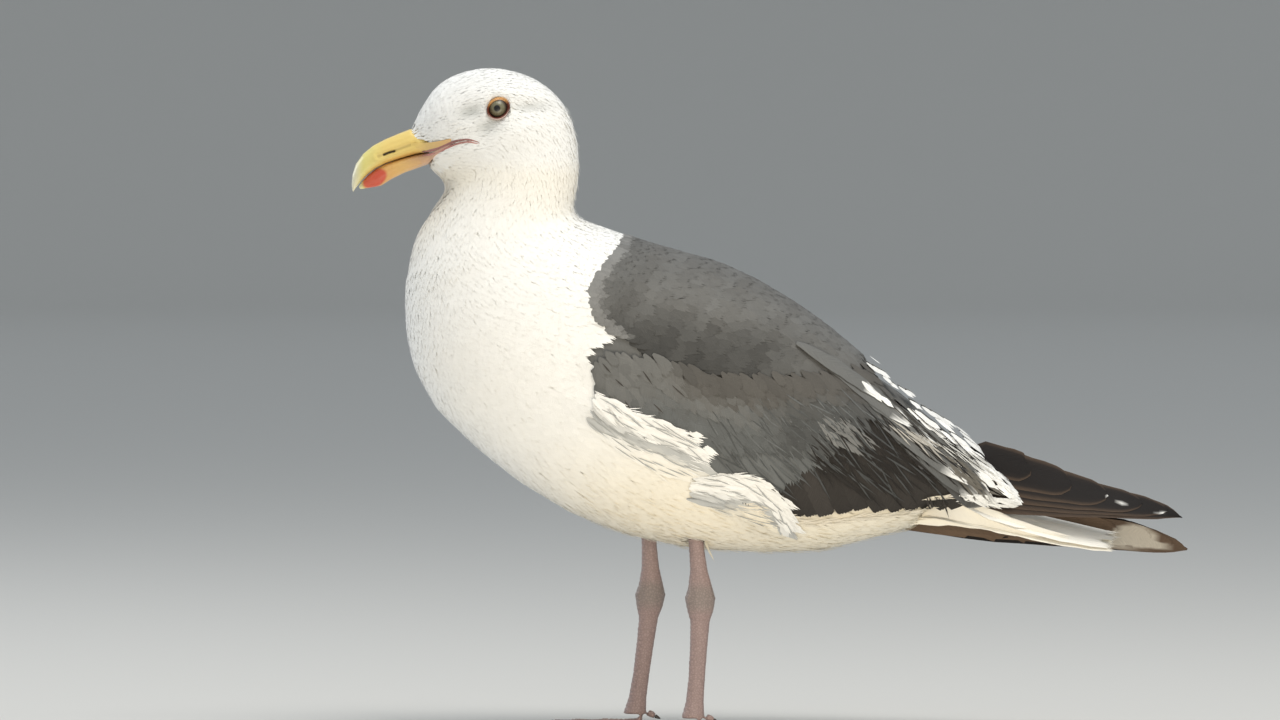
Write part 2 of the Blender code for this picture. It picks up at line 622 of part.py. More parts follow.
def foot(leg):
    """Three webbed front toes: ridged above, with flat pads under the toes."""
    fractions = (0.0, 0.1, 0.22, 0.36, 0.52, 0.68, 0.84, 1.0)
    spokes = []
    order = ("inner", "middle", "outer")
    for i, toe in enumerate(order):
        hub, end, ahead, half = toe_line(leg, toe)
        right = np.array([-ahead[1], ahead[0]]) * -leg["side"]
        for offset in (-1.0, 0.0, 1.0):
            tip = end + right * offset * half * (0.55 if offset else 0.0)
            spokes.append((tip - ahead * (1.0 if offset else 0.0),
                           right * offset * half * 0.9, offset == 0, False))
        if i < 2:
            _, next_end, _, _ = toe_line(leg, order[i + 1])
            for share, pull in ((0.32, 0.88), (0.68, 0.88)):
                tip = hub + (end + (next_end - end) * share - hub) * pull
                spokes.append((tip, np.zeros(2), False, True))
    spokes.sort(key=lambda s: math.atan2((s[0] - hub)[1] * leg["side"], -(s[0] - hub)[0]))
    turns = np.linspace(-1.0, 1.0, len(spokes))
    rows, tops, bottoms = len(fractions), [], []
    for turn, (tip, offset, ridge, web) in zip(turns, spokes):
        heel = hub + np.array([HEEL_BACK * (1 - 0.3 * turn * turn),
                               leg["side"] * HEEL_HALF * turn])
        for f in fractions:
            reach = min(1.0, f / TOE_PARTING) ** 1.5
            x, y = heel + (hub + offset * (1 - f) + (tip - hub) * f - heel) * reach
            height = TOE_HEIGHT + (TOE_TIP_HEIGHT - TOE_HEIGHT) * f
            knuckle = 0.5 * max(0.0, math.cos(2 * math.pi * f * 3))
            thick = WEB_THICK + (FOOT_TOP - GAP - WEB_THICK) * max(0.0, 1 - f / 0.2) ** 0.8
            if ridge:
                thick = max(thick, height + knuckle)
            elif not web:
                thick = max(thick, 0.45 * height)
            lift = WEB_LIFT if web and f > 0.2 else 0.0
            tops.append((x, y, min(thick + lift, FOOT_TOP - GAP)))
            bottoms.append((x, y, lift))
    count = len(tops)
    faces = []
    for s in range(len(spokes) - 1):
        for f in range(rows - 1):
            a, b = s * rows + f, (s + 1) * rows + f
            faces.append((a, a + 1, b + 1, b))
            faces.append((count + a, count + b, count + b + 1, count + a + 1))
    rim = ([f for f in range(rows)] + [s * rows + rows - 1 for s in range(1, len(spokes))]
           + [(len(spokes) - 1) * rows + f for f in range(rows - 2, -1, -1)]
           + [s * rows for s in range(len(spokes) - 2, 0, -1)])
    for a, b in zip(rim, rim[1:] + rim[:1]):
        faces.append((a, b, count + b, count + a))
    return make_object(side_name("foot", leg), tops + bottoms, faces)


def claw(leg, toe):
    """A curved horn claw at the end of a toe."""
    _, end, ahead, half = toe_line(leg, toe)
    length = CLAW_LENGTH[toe]
    rings, sides = [], 5
    for share in np.linspace(0, 1, 4):
        centre = end + ahead * (GAP + length * share)
        z = 0.3 + (TOE_TIP_HEIGHT - 0.6) * (1 - 0.1 * share - 0.85 * share**2) * 0.5 + 0.3
        radius = 1.5 * (1 - 0.85 * share)
        right = np.array([-ahead[1], ahead[0]])
        rings.append([(*(centre + right * radius * 0.75 * math.cos(a)), z + radius * math.sin(a) * 0.85)
                      for a in 2 * math.pi * np.arange(sides) / sides])
    made = loft(side_name("claw_" + toe, leg), rings)
    return finish(made, CLAW_HORN, 0.35)


def hallux(leg):
    """The short raised hind toe and its claw."""
    made = []
    start = np.array([leg["foot_x"] + 7.6, leg["side"] * (LEG_Y - 1.0), 9.0])
    way = np.array([0.86, -0.25 * leg["side"], -0.42])
    way /= np.linalg.norm(way)
    side = np.cross(way, (0, 0, 1.0))
    side /= np.linalg.norm(side)
    up = np.cross(side, way)
    for part, first, last, wide, colour in (("hallux", 0.0, 0.62, (2.2, 2.3, 1.9), PINK_FLESH),
                                            ("claw_hind", 0.66, 1.15, (1.5, 1.0, 0.35), CLAW_HORN)):
        rings = []
        for share, radius in zip((0.0, 0.5, 1.0), wide):
            centre = start + way * HALLUX_LENGTH * (first + (last - first) * share)
            rings.append([centre + radius * (side * math.cos(a) + up * math.sin(a))
                          for a in 2 * math.pi * np.arange(6) / 6])
        made.append(finish(loft(side_name(part, leg), rings), colour, 0.6))
    return made


def build_leg(leg):
    finish(shank(side_name("shank", leg), leg), PINK_FLESH, 0.6)
    finish(tarsus(leg), PINK_FLESH, 0.6)
    finish(foot(leg), PINK_FLESH, 0.6)
    for toe in TOES:
        claw(leg, toe)
    hallux(leg)


def main():
    for old in list(bpy.data.objects):
        bpy.data.objects.remove(old)
    outlines = cover_outlines()
    head()
    finish(loft("neck", body_rings(station_after(NECK_TOP), NECK_FOOT, 8, HEAD_SIDES)), WHITE)
    finish(bill_part("bill_upper", BILL_UPPER), YELLOW, 0.4)
    finish(bill_part("bill_lower", BILL_LOWER), ORANGE_YELLOW, 0.4)
    for side in (-1, 1):
        eye(side)
    trunk(outlines)
    cover_piece("mantle", outlines["mantle"], -120, 120, 0.0, SLATE)
    for side, label in ((-1, "left"), (1, "right")):
        reach = sorted((side * GAP / 2, side * 120))
        cover_piece("wing_coverts_" + label, outlines["coverts"], *reach, 0.6, SLATE)
        cover_piece("wing_secondaries_" + label, outlines["secondaries"], *reach, 0.0, DARK_SLATE)
    primaries("wing_primaries_left", LEFT_PRIMARIES, -1)
    primaries("wing_primaries_right", RIGHT_PRIMARIES, 1)
    finish(tail_form("tail"), WHITE)
    for leg in (LEFT_LEG, RIGHT_LEG):
        build_leg(leg)


main()
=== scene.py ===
"""Dresses the solids of a standing western gull as a life-size museum model.

The bird faces -X, its left side is towards -Y and the floor is Z = 0. Tables are in
millimetres as (x, z) in the side view unless they say otherwise; meshes are in metres.
"""
import json
import math

import bmesh
import bpy
import numpy as np
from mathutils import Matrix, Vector
from mathutils.bvhtree import BVHTree
from mathutils.kdtree import KDTree

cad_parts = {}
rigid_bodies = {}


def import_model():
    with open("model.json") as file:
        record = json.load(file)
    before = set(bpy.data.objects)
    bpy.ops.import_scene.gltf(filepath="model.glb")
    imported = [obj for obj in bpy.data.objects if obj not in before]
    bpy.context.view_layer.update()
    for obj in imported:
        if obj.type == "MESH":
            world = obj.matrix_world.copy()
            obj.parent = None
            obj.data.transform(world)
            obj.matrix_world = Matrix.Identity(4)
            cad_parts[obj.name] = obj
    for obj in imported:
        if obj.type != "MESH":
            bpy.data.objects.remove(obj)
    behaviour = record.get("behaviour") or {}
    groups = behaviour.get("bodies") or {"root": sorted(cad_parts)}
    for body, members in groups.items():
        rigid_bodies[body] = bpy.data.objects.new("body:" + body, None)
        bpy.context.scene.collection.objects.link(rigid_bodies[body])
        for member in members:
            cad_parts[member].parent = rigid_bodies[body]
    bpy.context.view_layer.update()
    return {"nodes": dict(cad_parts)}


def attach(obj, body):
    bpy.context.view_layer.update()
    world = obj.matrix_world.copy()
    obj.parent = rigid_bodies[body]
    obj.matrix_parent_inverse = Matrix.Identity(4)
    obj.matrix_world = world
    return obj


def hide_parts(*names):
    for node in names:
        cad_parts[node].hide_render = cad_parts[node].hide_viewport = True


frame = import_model()

MM = 0.001
SHARP_ANGLE = 55                   # edges over this angle (degrees) stay sharp
draw = np.random.default_rng(11)

# ---- colours (linear)
WHITE = (0.90, 0.90, 0.875)
# cream of a warm bounce light from below, painted on the underside, chin and tail
PAINTED_BOUNCE_CREAM = (0.86, 0.80, 0.66)
SLATE = (0.142, 0.143, 0.138)
BROWN_SLATE = (0.106, 0.101, 0.093)
COVERT_GREY = (0.112, 0.118, 0.118)
DARK_BROWN = (0.052, 0.047, 0.043)
CREASE = ((-101, 233), (-71, 231.5), (-40, 222), (-19, 220), (13, 221), (36, 222), (56, 226))
MANTLE_FRONT = ((-87.2, 316), (-89.1, 302.6), (-93.3, 292.2), (-103.7, 279.4), (-108.6, 265.3),
                (-104.3, 253.8), (-94.5, 247), (-91, 238.5))
# painted shadows of the face: before, under and behind the eye, and near the bill's base
FACE_SHADOW_GREY = (0.36, 0.37, 0.34)
FACE_SHADOWS = (                    # x, z, half length, half height, lean, strength
    (-183.0, 377.0, 8.5, 4.4, 12, 0.66), (-172.0, 368.5, 8.0, 4.6, 25, 0.60),
    (-146.0, 380.5, 12.0, 2.8, 5, 0.48), (-197.0, 362.0, 10.0, 1.2, 12, 0.25))
# painted shadow on the slate of the mantle and coverts
SLATE_SHADOW = (0.048, 0.048, 0.046)
BLACK_BROWN = (0.0125, 0.0105, 0.0100)
FAR_BROWN = (0.130, 0.088, 0.060)
MIRROR_PALE = (0.55, 0.50, 0.42)
# painted shadow under the fluffed flank feathers
PLUME_SHADOW = (0.50, 0.51, 0.50)
FRONT_GREYS = ((0.52, 0.52, 0.50), (0.40, 0.40, 0.39))     # white and slate where they meet

# ---- middle line of the body
AXIS = np.array((
    (-225, 350), (-200, 358), (-178, 366), (-160, 359), (-157, 338), (-165, 315),
    (-163, 290), (-148, 262), (-115, 240), (-70, 222), (-20, 208), (40, 190),
    (100, 165), (150, 148), (215, 135)), float)

FLESH = ("head", "neck", "trunk", "mantle", "wing_coverts_left", "wing_coverts_right")
WINGS = ("wing_secondaries_left", "wing_secondaries_right")


# ---- small tools
def unit(vectors):
    """Vectors made one long."""
    return vectors / np.maximum(np.linalg.norm(vectors, axis=-1, keepdims=True), 1e-12)


def xyz(x, y, z):
    """Places from their three coordinates, which may be arrays or numbers."""
    return np.stack(np.broadcast_arrays(x, y, z), -1).astype(float)


def smooth_line(points, count=40):
    """Catmull-Rom curve through rows of numbers, as count rows."""
    rows = np.asarray(points, float)
    padded = np.vstack([2 * rows[0] - rows[1], rows, 2 * rows[-1] - rows[-2]])
    at = np.linspace(0, len(rows) - 1, count)
    i = np.minimum(at.astype(int), len(rows) - 2)
    t = (at - i)[:, None]
    a, b, c, d = padded[i], padded[i + 1], padded[i + 2], padded[i + 3]
    return 0.5 * (2 * b + (c - a) * t + (2 * a - 5 * b + 4 * c - d) * t * t
                  + (3 * b - a - 3 * c + d) * t ** 3)


def ramp(value, start, end):
    """0 before start, 1 after end, smooth between."""
    t = np.clip((value - start) / (end - start), 0.0, 1.0)
    return t * t * (3 - 2 * t)


def mix(a, b, share):
    """Colours a and b mixed by an array of shares."""
    share = np.asarray(share)[..., None]
    return np.asarray(a) * (1 - share) + np.asarray(b) * share


def table_at(table, x):
    """The other columns of a table whose first column is x, read at x."""
    table = np.array(table, float)
    return [np.interp(x, table[:, 0], table[:, k]) for k in range(1, table.shape[1])]


def smoothed(values, reach, mode="edge"):
    """Running mean over reach values on each side."""
    return np.convolve(np.pad(values, reach, mode=mode), np.ones(2 * reach + 1) / (2 * reach + 1),
                       "valid")


def inside(places, outline):
    """Which side-view places lie within an outline."""
    x, z = places.T
    found = np.zeros(len(places), bool)
    for (x0, z0), (x1, z1) in zip(outline, np.roll(outline, -1, axis=0)):
        crosses = (z0 > z) != (z1 > z)
        found ^= crosses & (x < (x1 - x0) * (z - z0) / (z1 - z0 + 1e-9) + x0)
    return found


def node_mesh(name):
    """Points (m) and triangles of one of the solids."""
    mesh = frame["nodes"][name].data
    mesh.calc_loop_triangles()
    points = np.zeros(len(mesh.vertices) * 3)
    faces = np.zeros(len(mesh.loop_triangles) * 3, np.int32)
    mesh.vertices.foreach_get("co", points)
    mesh.loop_triangles.foreach_get("vertices", faces)
    return points.reshape(-1, 3), faces.reshape(-1, 3)


def mesh_from(name, points, faces, sharp=SHARP_ANGLE):
    """A smooth-shaded mesh from triangles, with edges over the angle kept sharp."""
    mesh = bpy.data.meshes.new(name)
    mesh.vertices.add(len(points))
    mesh.vertices.foreach_set("co", np.asarray(points, np.float32).ravel())
    mesh.loops.add(faces.size)
    mesh.loops.foreach_set("vertex_index", faces.astype(np.int32).ravel())
    mesh.polygons.add(len(faces))
    mesh.polygons.foreach_set("loop_start", np.arange(0, faces.size, 3, dtype=np.int32))
    mesh.update(calc_edges=True)
    mesh.shade_smooth()
    mesh.set_sharp_from_angle(angle=math.radians(sharp))
    return mesh


def show(mesh, material, slot, *replaced):
    """Puts a mesh in the scene as a piece of the bird."""
    made = bpy.data.objects.new(mesh.name, mesh)
    bpy.context.scene.collection.objects.link(made)
    mesh.materials.append(material)
    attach(made, "root")
    if replaced:
        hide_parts(*replaced)
    return made


def paint(mesh, colours):
    """Writes a colour for each vertex."""
    layer = mesh.color_attributes.new("plumage", "FLOAT_COLOR", "POINT")
    rgba = np.ones((len(colours), 4), np.float32)
    rgba[:, :3] = colours
    layer.data.foreach_set("color", rgba.ravel())


def piece(name, points, faces, colours, material, slot, *replaced, sharp=SHARP_ANGLE):
    """A painted mesh shown as a piece of the bird."""
    mesh = mesh_from(name, points, faces, sharp)
    paint(mesh, colours)
    show(mesh, material, slot, *replaced)
    return mesh


def map_uv(mesh, name, per_vertex):
    """A UV map from one coordinate pair for each vertex."""
    loops = np.zeros(len(mesh.loops), np.int32)
    mesh.loops.foreach_get("vertex_index", loops)
    layer = mesh.uv_layers.new(name=name)
    layer.data.foreach_set("uv", np.asarray(per_vertex, np.float32)[loops].ravel())


class Surface:
    """Triangles that tell their nearest point and its smooth normal."""

    def __init__(self, points, faces):
        self.points, self.faces = points, faces
        corners = points[faces]
        cross = np.cross(corners[:, 1] - corners[:, 0], corners[:, 2] - corners[:, 0])
        normals = np.zeros_like(points)
        for k in range(3):
            np.add.at(normals, faces[:, k], cross)
        self.normals = unit(normals)
        self.areas = np.linalg.norm(cross, axis=1) / 2
        self.tree = BVHTree.FromPolygons(points.tolist(), faces.tolist())

    def nearest(self, places):
        """Nearest points and normals for an array of places."""
        flat = places.reshape(-1, 3)
        hits, found = np.empty_like(flat), np.empty(len(flat), np.int64)
        find = self.tree.find_nearest
        for i, place in enumerate(flat.tolist()):
            hit, _, face, _ = find(place)
            hits[i], found[i] = hit, face
        a, b, c = (self.points[self.faces[found, k]] for k in range(3))
        whole = np.maximum(np.linalg.norm(np.cross(b - a, c - a), axis=1), 1e-14)
        wa = np.linalg.norm(np.cross(b - hits, c - hits), axis=1) / whole
        wb = np.linalg.norm(np.cross(c - hits, a - hits), axis=1) / whole
        share = np.stack([wa, wb, np.maximum(0, 1 - wa - wb)], 1)
        normal = unit((self.normals[self.faces[found]] * share[..., None]).sum(1))
        return hits.reshape(places.shape), normal.reshape(places.shape)


def merged(names, voxel, smoothing, one=True):
    """The named solids as one remeshed, smoothed closed surface (points, triangles)."""
    solid = bmesh.new()
    for name in names:
        part = bpy.data.meshes.new("part")
        points, faces = node_mesh(name)
        part.from_pydata(points.tolist(), [], faces.tolist())
        solid.from_mesh(part)
    bmesh.ops.remove_doubles(solid, verts=solid.verts, dist=1e-6)
    mesh = bpy.data.meshes.new("merged")
    solid.to_mesh(mesh)
    holder = bpy.data.objects.new("merged", mesh)
    bpy.context.scene.collection.objects.link(holder)
    remesh = holder.modifiers.new("remesh", "REMESH")
    remesh.mode, remesh.voxel_size = "VOXEL", voxel
    relax = holder.modifiers.new("relax", "SMOOTH")
    relax.factor, relax.iterations = 0.5, smoothing
    graph = bpy.context.evaluated_depsgraph_get()
    made = bpy.data.meshes.new_from_object(holder.evaluated_get(graph))
    solid.clear()
    solid.from_mesh(made)
    bmesh.ops.triangulate(solid, faces=solid.faces)
    if one:
        keep_largest(solid)
    points = np.array([v.co for v in solid.verts])
    faces = np.array([[v.index for v in f.verts] for f in solid.faces])
    solid.free()
    bpy.data.objects.remove(holder)
    return points, faces


def fair(points, faces, rounds, share):
    """Evens out creases; share says how much each point gives way."""
    count = len(points)
    edges = np.unique(np.sort(faces[:, [0, 1, 1, 2, 2, 0]].reshape(-1, 2)), axis=0)
    ends = np.concatenate([edges[:, 0], edges[:, 1]])
    others = np.concatenate([edges[:, 1], edges[:, 0]])
    degree = np.bincount(ends, minlength=count)[:, None]
    share = np.broadcast_to(share, (count,))[:, None]
    for _ in range(rounds):
        mean = np.stack([np.bincount(ends, points[others, k], count) for k in range(3)], 1)
        points = points + (mean / degree - points) * 0.6 * share
    return points


def keep_largest(solid):
    """Deletes all but the largest connected shell."""
    left, shells = set(solid.verts), []
    while left:
        edge = [left.pop()]
        shell = list(edge)
        while edge:
            near = {e.other_vert(v) for v in edge for e in v.link_edges} & left
            left -= near
            edge = list(near)
            shell += edge
        shells.append(shell)
    for shell in sorted(shells, key=len)[:-1]:
        bmesh.ops.delete(solid, geom=shell, context="VERTS")
    solid.verts.index_update()


# ---- place along the body
AXIS_FINE = smooth_line(AXIS, 140) * MM
AXIS_STEP = np.linalg.norm(np.diff(AXIS_FINE, axis=0), axis=1)
AXIS_AT = np.concatenate([[0], np.cumsum(AXIS_STEP)]) / MM      # mm from the bill
AXIS_TURN = unit(np.gradient(AXIS_FINE, axis=0))


def along_body(points):
    """Distance from the bill along the middle line (mm) and the line's direction."""
    flat = points.reshape(-1, 3)
    place = flat[:, None, (0, 2)] - AXIS_FINE[None]
    away = (place ** 2).sum(2) + (4 * MM) ** 2
    weight = 1.0 / away ** 3
    weight /= weight.sum(1, keepdims=True)
    turn = unit(weight @ AXIS_TURN)
    heading = xyz(turn[:, 0], 0, turn[:, 1])
    return (weight @ AXIS_AT).reshape(points.shape[:-1]), heading.reshape(points.shape)


def unwrap(points):
    """Places on the skin unrolled from the belly: turn about the middle line, and length."""
    station, heading = along_body(points)
    x, z = (np.interp(station, AXIS_AT, AXIS_FINE[:, k]) for k in (0, 1))
    up = xyz(-heading[..., 2], 0, heading[..., 0])
    off = points - xyz(x, 0, z)
    turn = np.arctan2(off[..., 1], (off * up).sum(-1)) / (2 * math.pi) + 0.5
    length = np.interp(station, (0, 110, 220, AXIS_AT[-1]), (0.0, 0.42, 0.66, 1.0))
    return np.stack([0.02 + 0.95 * turn, 0.01 + 0.97 * length], -1)


# ---- markings
def behind_front(x, z):
    """How far places lie behind the mantle's front edge (mm)."""
    edge = np.array(MANTLE_FRONT[::-1], float)
    return x - np.interp(z, edge[:, 1], edge[:, 0])


def over_crease(x, z):
    """How far places lie above the crease between mantle and coverts (mm)."""
    return z - table_at(CREASE, x)[0]


def blot(x, z, middle_x, middle_z, long, high, lean):
    """A soft leaning oval in the side view: 1 in its middle, 0 far away."""
    c, s = math.cos(math.radians(lean)), math.sin(math.radians(lean))
    dx, dz = x - middle_x, z - middle_z
    return np.exp(-((dx * c + dz * s) / long) ** 2 - ((dz * c - dx * s) / high) ** 2)


def plumage_colour(points, region):
    """Colour of the bird at each point; region is 0 white, 1 mantle, 2 coverts, 3 quills.

    Light and shade are painted in as well: the cream of a warm bounce light low on the body
    and under the chin, shadows round the eye, shadow on the mantle above the crease and over
    its front, and a paler highlight on the coverts just under the crease.
    """
    x, z = points[..., 0] / MM, points[..., 2] / MM
    station, _ = along_body(points)
    # painted warm bounce light: cream low on the body and under the chin
    colour = mix(WHITE, PAINTED_BOUNCE_CREAM, 0.90 * ramp(z, 200, 135) * ramp(x, -190, -70))
    colour = mix(colour, PAINTED_BOUNCE_CREAM, 0.60 * ramp(z, 352, 336) * ramp(station, 150, 60))
    # painted shadows round the eye and near the bill's base
    for *oval, share in FACE_SHADOWS:
        colour = mix(colour, FACE_SHADOW_GREY, share * blot(x, z, *oval))
    behind = behind_front(x, z) + 2 * np.sin(z * 0.9) * np.sin(z * 0.37)
    colour = mix(colour, FRONT_GREYS[0], 0.4 * ramp(behind, -4, 4) * (z > 236))
    above = over_crease(x, z)
    cloud = (np.sin(x * 0.13 + z * 0.05) * np.sin(z * 0.17 - x * 0.06 + 1.0)
             + 0.6 * np.sin(x * 0.31 - z * 0.22))
    slate = mix(np.array(SLATE) * 1.15, BROWN_SLATE, 0.35 + 0.16 * cloud)
    # painted shadow on the mantle above the crease, and a lighter one over its front
    shadow = np.maximum(ramp(-above, -40, -10) * ramp(-x, -35, 25),
                        0.30 * ramp(-x, 70, 92))
    slate = mix(slate, SLATE_SHADOW, shadow * (0.85 + 0.1 * cloud))
    slate = mix(slate, FRONT_GREYS[1], 0.4 * ramp(-behind, -5, 0) * (z > 240))
    # paler under the crease: partly own grey, partly a painted highlight on the wing's top edge
    coverts = mix(SLATE, COVERT_GREY, ramp(z, 222, 200))
    coverts = mix(coverts, BROWN_SLATE, ramp(z, 206, 214) * ramp(x, -80, -50))
    quills = np.broadcast_to(DARK_BROWN, colour.shape)
    region = np.asarray(region)[..., None]
    return np.where(region == 0, colour,
                    np.where(region == 1, slate, np.where(region == 2, coverts, quills)))


# ---- materials
def node(tree, kind, **values):
    """A shader node with its settings and its inputs' values."""
    made = tree.nodes.new(kind)
    for key, value in values.items():
        if hasattr(made, key):
            setattr(made, key, value)
        else:
            made.inputs[key].default_value = value
    return made


def maths(tree, operation, *inputs):
    """A math node's result; inputs are sockets or numbers."""
    made = tree.nodes.new("ShaderNodeMath")
    made.operation = operation
    for socket, value in zip(made.inputs, inputs):
        if hasattr(value, "is_output"):
            tree.links.new(value, socket)
        else:
            socket.default_value = value
    return made.outputs[0]


def grain_group(name, amounts, pattern):
    """A shader node group that breaks up a colour and gives its relief.

    pattern(tree, inputs) gives the colour's gain and the height."""
    tree = bpy.data.node_groups.new(name, "ShaderNodeTree")
    sockets = tree.interface
    sockets.new_socket("Colour", in_out="INPUT", socket_type="NodeSocketColor")
    for label, value in amounts.items():
        made = sockets.new_socket(label, in_out="INPUT", socket_type="NodeSocketFloat")
        made.default_value = value
    sockets.new_socket("Colour", in_out="OUTPUT", socket_type="NodeSocketColor")
    sockets.new_socket("Height", in_out="OUTPUT", socket_type="NodeSocketFloat")
    start, end = tree.nodes.new("NodeGroupInput"), tree.nodes.new("NodeGroupOutput")
    gain, height = pattern(tree, start.outputs)
    tint = node(tree, "ShaderNodeVectorMath", operation="SCALE")
    for source, target in ((start.outputs["Colour"], tint.inputs[0]),
                           (gain, tint.inputs["Scale"]), (tint.outputs[0], end.inputs["Colour"]),
                           (height, end.inputs["Height"])):
        tree.links.new(source, target)
    return tree


def level_of(tree, noise, amount):
    """A noise's level about zero, and the gain it makes with an amount."""
    level = maths(tree, "SUBTRACT", noise.outputs["Fac"], 0.5)
    return maths(tree, "MULTIPLY_ADD", level, amount, 1.0), level


def barb_grain(tree, inputs):
    """Fine barbs that slant from a feather's shaft to its edge."""
    split = node(tree, "ShaderNodeSeparateXYZ")
    tree.links.new(node(tree, "ShaderNodeUVMap", uv_map="Vane").outputs[0], split.inputs[0])
    across = maths(tree, "ABSOLUTE", split.outputs[0])
    slant = maths(tree, "MULTIPLY_ADD", across, -1.5, split.outputs[1])
    join = node(tree, "ShaderNodeCombineXYZ")
    tree.links.new(maths(tree, "MULTIPLY", slant, inputs["Barbs per mm"]), join.inputs[0])
    tree.links.new(maths(tree, "MULTIPLY", split.outputs[0], 0.22), join.inputs[1])
    noise = node(tree, "ShaderNodeTexNoise", noise_dimensions="2D", Scale=1.0, Detail=2.5,
                 Roughness=0.6)
    tree.links.new(join.outputs[0], noise.inputs["Vector"])
    return level_of(tree, noise, inputs["Streak"])


def patchy(detail, roughness, stretch=(1.0, 1.0, 1.0)):
    """The pattern of a noise in the object's own space, squeezed by stretch."""
    def pattern(tree, inputs):
        place = node(tree, "ShaderNodeTexCoord").outputs["Object"]
        squeeze = node(tree, "ShaderNodeMapping")
        squeeze.inputs["Scale"].default_value = stretch
        noise = node(tree, "ShaderNodeTexNoise", Detail=detail, Roughness=roughness)
        tree.links.new(place, squeeze.inputs["Vector"])
        tree.links.new(squeeze.outputs[0], noise.inputs["Vector"])
        tree.links.new(inputs["Scale"], noise.inputs["Scale"])
        return level_of(tree, noise, inputs["Amount"])
    return pattern


def scale_grain(tree, inputs):
    """Small many-sided scales of bare bird skin."""
    cells = node(tree, "ShaderNodeTexVoronoi", feature="DISTANCE_TO_EDGE")
    tree.links.new(node(tree, "ShaderNodeTexCoord").outputs["Object"], cells.inputs["Vector"])
    tree.links.new(inputs["Scale"], cells.inputs["Scale"])
    seam = maths(tree, "MINIMUM", maths(tree, "MULTIPLY", cells.outputs["Distance"], 5.0), 1.0)
    below = maths(tree, "SUBTRACT", seam, 1.0)
    return maths(tree, "MULTIPLY_ADD", below, inputs["Amount"], 1.0), seam


GROUPS = {
    "barb": grain_group("Barb grain", {"Streak": 0.15, "Barbs per mm": 1.6}, barb_grain),
    "mottle": grain_group("Down mottle", {"Amount": 0.1, "Scale": 60.0}, patchy(3.0, 0.55)),
    "horn": grain_group("Horn grain", {"Amount": 0.1, "Scale": 300.0},
                        patchy(4.0, 0.6, (0.35, 1.0, 1.0))),
    "scale": grain_group("Scale grain", {"Amount": 0.2, "Scale": 700.0}, scale_grain)}


def finish(name, grains, bump, distance, **shader_values):
    """A material whose painted colour runs through grain groups; the last gives the relief.

    grains holds each group's name and values."""
    made = bpy.data.materials.new(name)
    made.use_nodes = True
    tree = made.node_tree
    shader = tree.nodes["Principled BSDF"]
    for key, value in shader_values.items():
        shader.inputs[key.replace("_", " ")].default_value = value
    colour = node(tree, "ShaderNodeAttribute", attribute_name="plumage").outputs["Color"]
    for label, values in grains:
        grain = tree.nodes.new("ShaderNodeGroup")
        grain.node_tree = GROUPS[label]
        for key, value in values.items():
            grain.inputs[key].default_value = value
        tree.links.new(colour, grain.inputs["Colour"])
        colour = grain.outputs["Colour"]
    tree.links.new(colour, shader.inputs["Base Color"])
    lift = node(tree, "ShaderNodeBump", Strength=bump, Distance=distance)
    tree.links.new(grain.outputs["Height"], lift.inputs["Height"])
    tree.links.new(lift.outputs[0], shader.inputs["Normal"])
    return made


def feather_material(name, streak, barbs, mottle, bump, roughness, sheen):
    return finish(name, (("mottle", {"Amount": mottle, "Scale": 55.0}),
                         ("barb", {"Streak": streak, "Barbs per mm": barbs})), bump, 0.0004,
                  Roughness=roughness, Sheen_Weight=sheen, Sheen_Roughness=0.6,
                  Specular_IOR_Level=0.15)


def bare_material(name, grain, amount, scale, bump, roughness, coat, coat_roughness,
                  distance=0.0003):
    return finish(name, ((grain, {"Amount": amount, "Scale": scale}),), bump, distance,
                  Roughness=roughness, Coat_Weight=coat, Coat_Roughness=coat_roughness)


white_down = feather_material("white plumage", 0.10, 1.3, 0.03, 0.25, 0.75, 0.1)
slate_vane = feather_material("slate plumage", 0.30, 1.1, 0.18, 0.35, 0.70, 0.04)
dark_vane = feather_material("dark plumage", 0.45, 0.9, 0.12, 0.4, 0.62, 0.0)
bill_horn = bare_material("bill horn", "horn", 0.16, 420, 0.25, 0.36, 0.15, 0.25)
claw_horn = bare_material("claw horn", "horn", 0.3, 700, 0.3, 0.35, 0.2, 0.1)
leg_skin = bare_material("leg skin", "scale", 0.25, 620, 0.5, 0.5, 0.05, 0.3)
lid_skin = bare_material("lid skin", "scale", 0.35, 1500, 0.5, 0.5, 0.1, 0.2, 0.0001)
eye_wet = bare_material("wet eye", "horn", 0.05, 900, 0.0, 0.4, 0.25, 0.03)


# ---- feathers
def vane_faces(rows, columns):
    """Triangles of one closed vane: a top grid, and a keel line under its middle."""
    ring = columns + 1
    keel = columns
    faces = []
    for r in range(rows - 1):
        a, b = r * ring, (r + 1) * ring
        for c in range(columns - 1):
            if c < (columns - 1) // 2:
                faces += [(a + c, a + c + 1, b + c), (a + c + 1, b + c + 1, b + c)]
            else:
                faces += [(a + c, a + c + 1, b + c + 1), (a + c, b + c + 1, b + c)]
        faces += [(a, b, b + keel), (a, b + keel, a + keel)]
        last = columns - 1
        faces += [(a + last, a + keel, b + keel), (a + last, b + keel, b + last)]
    for c in range(columns - 1):
        faces.append((keel, c + 1, c))
        end = (rows - 1) * ring
        faces.append((end + keel, end + c, end + c + 1))
    return np.array(faces)[:, ::-1]


SHARPEST_BEND, SHARPEST_FOLD = 0.72, 0.6   # cosines at which a feather leaves the surface


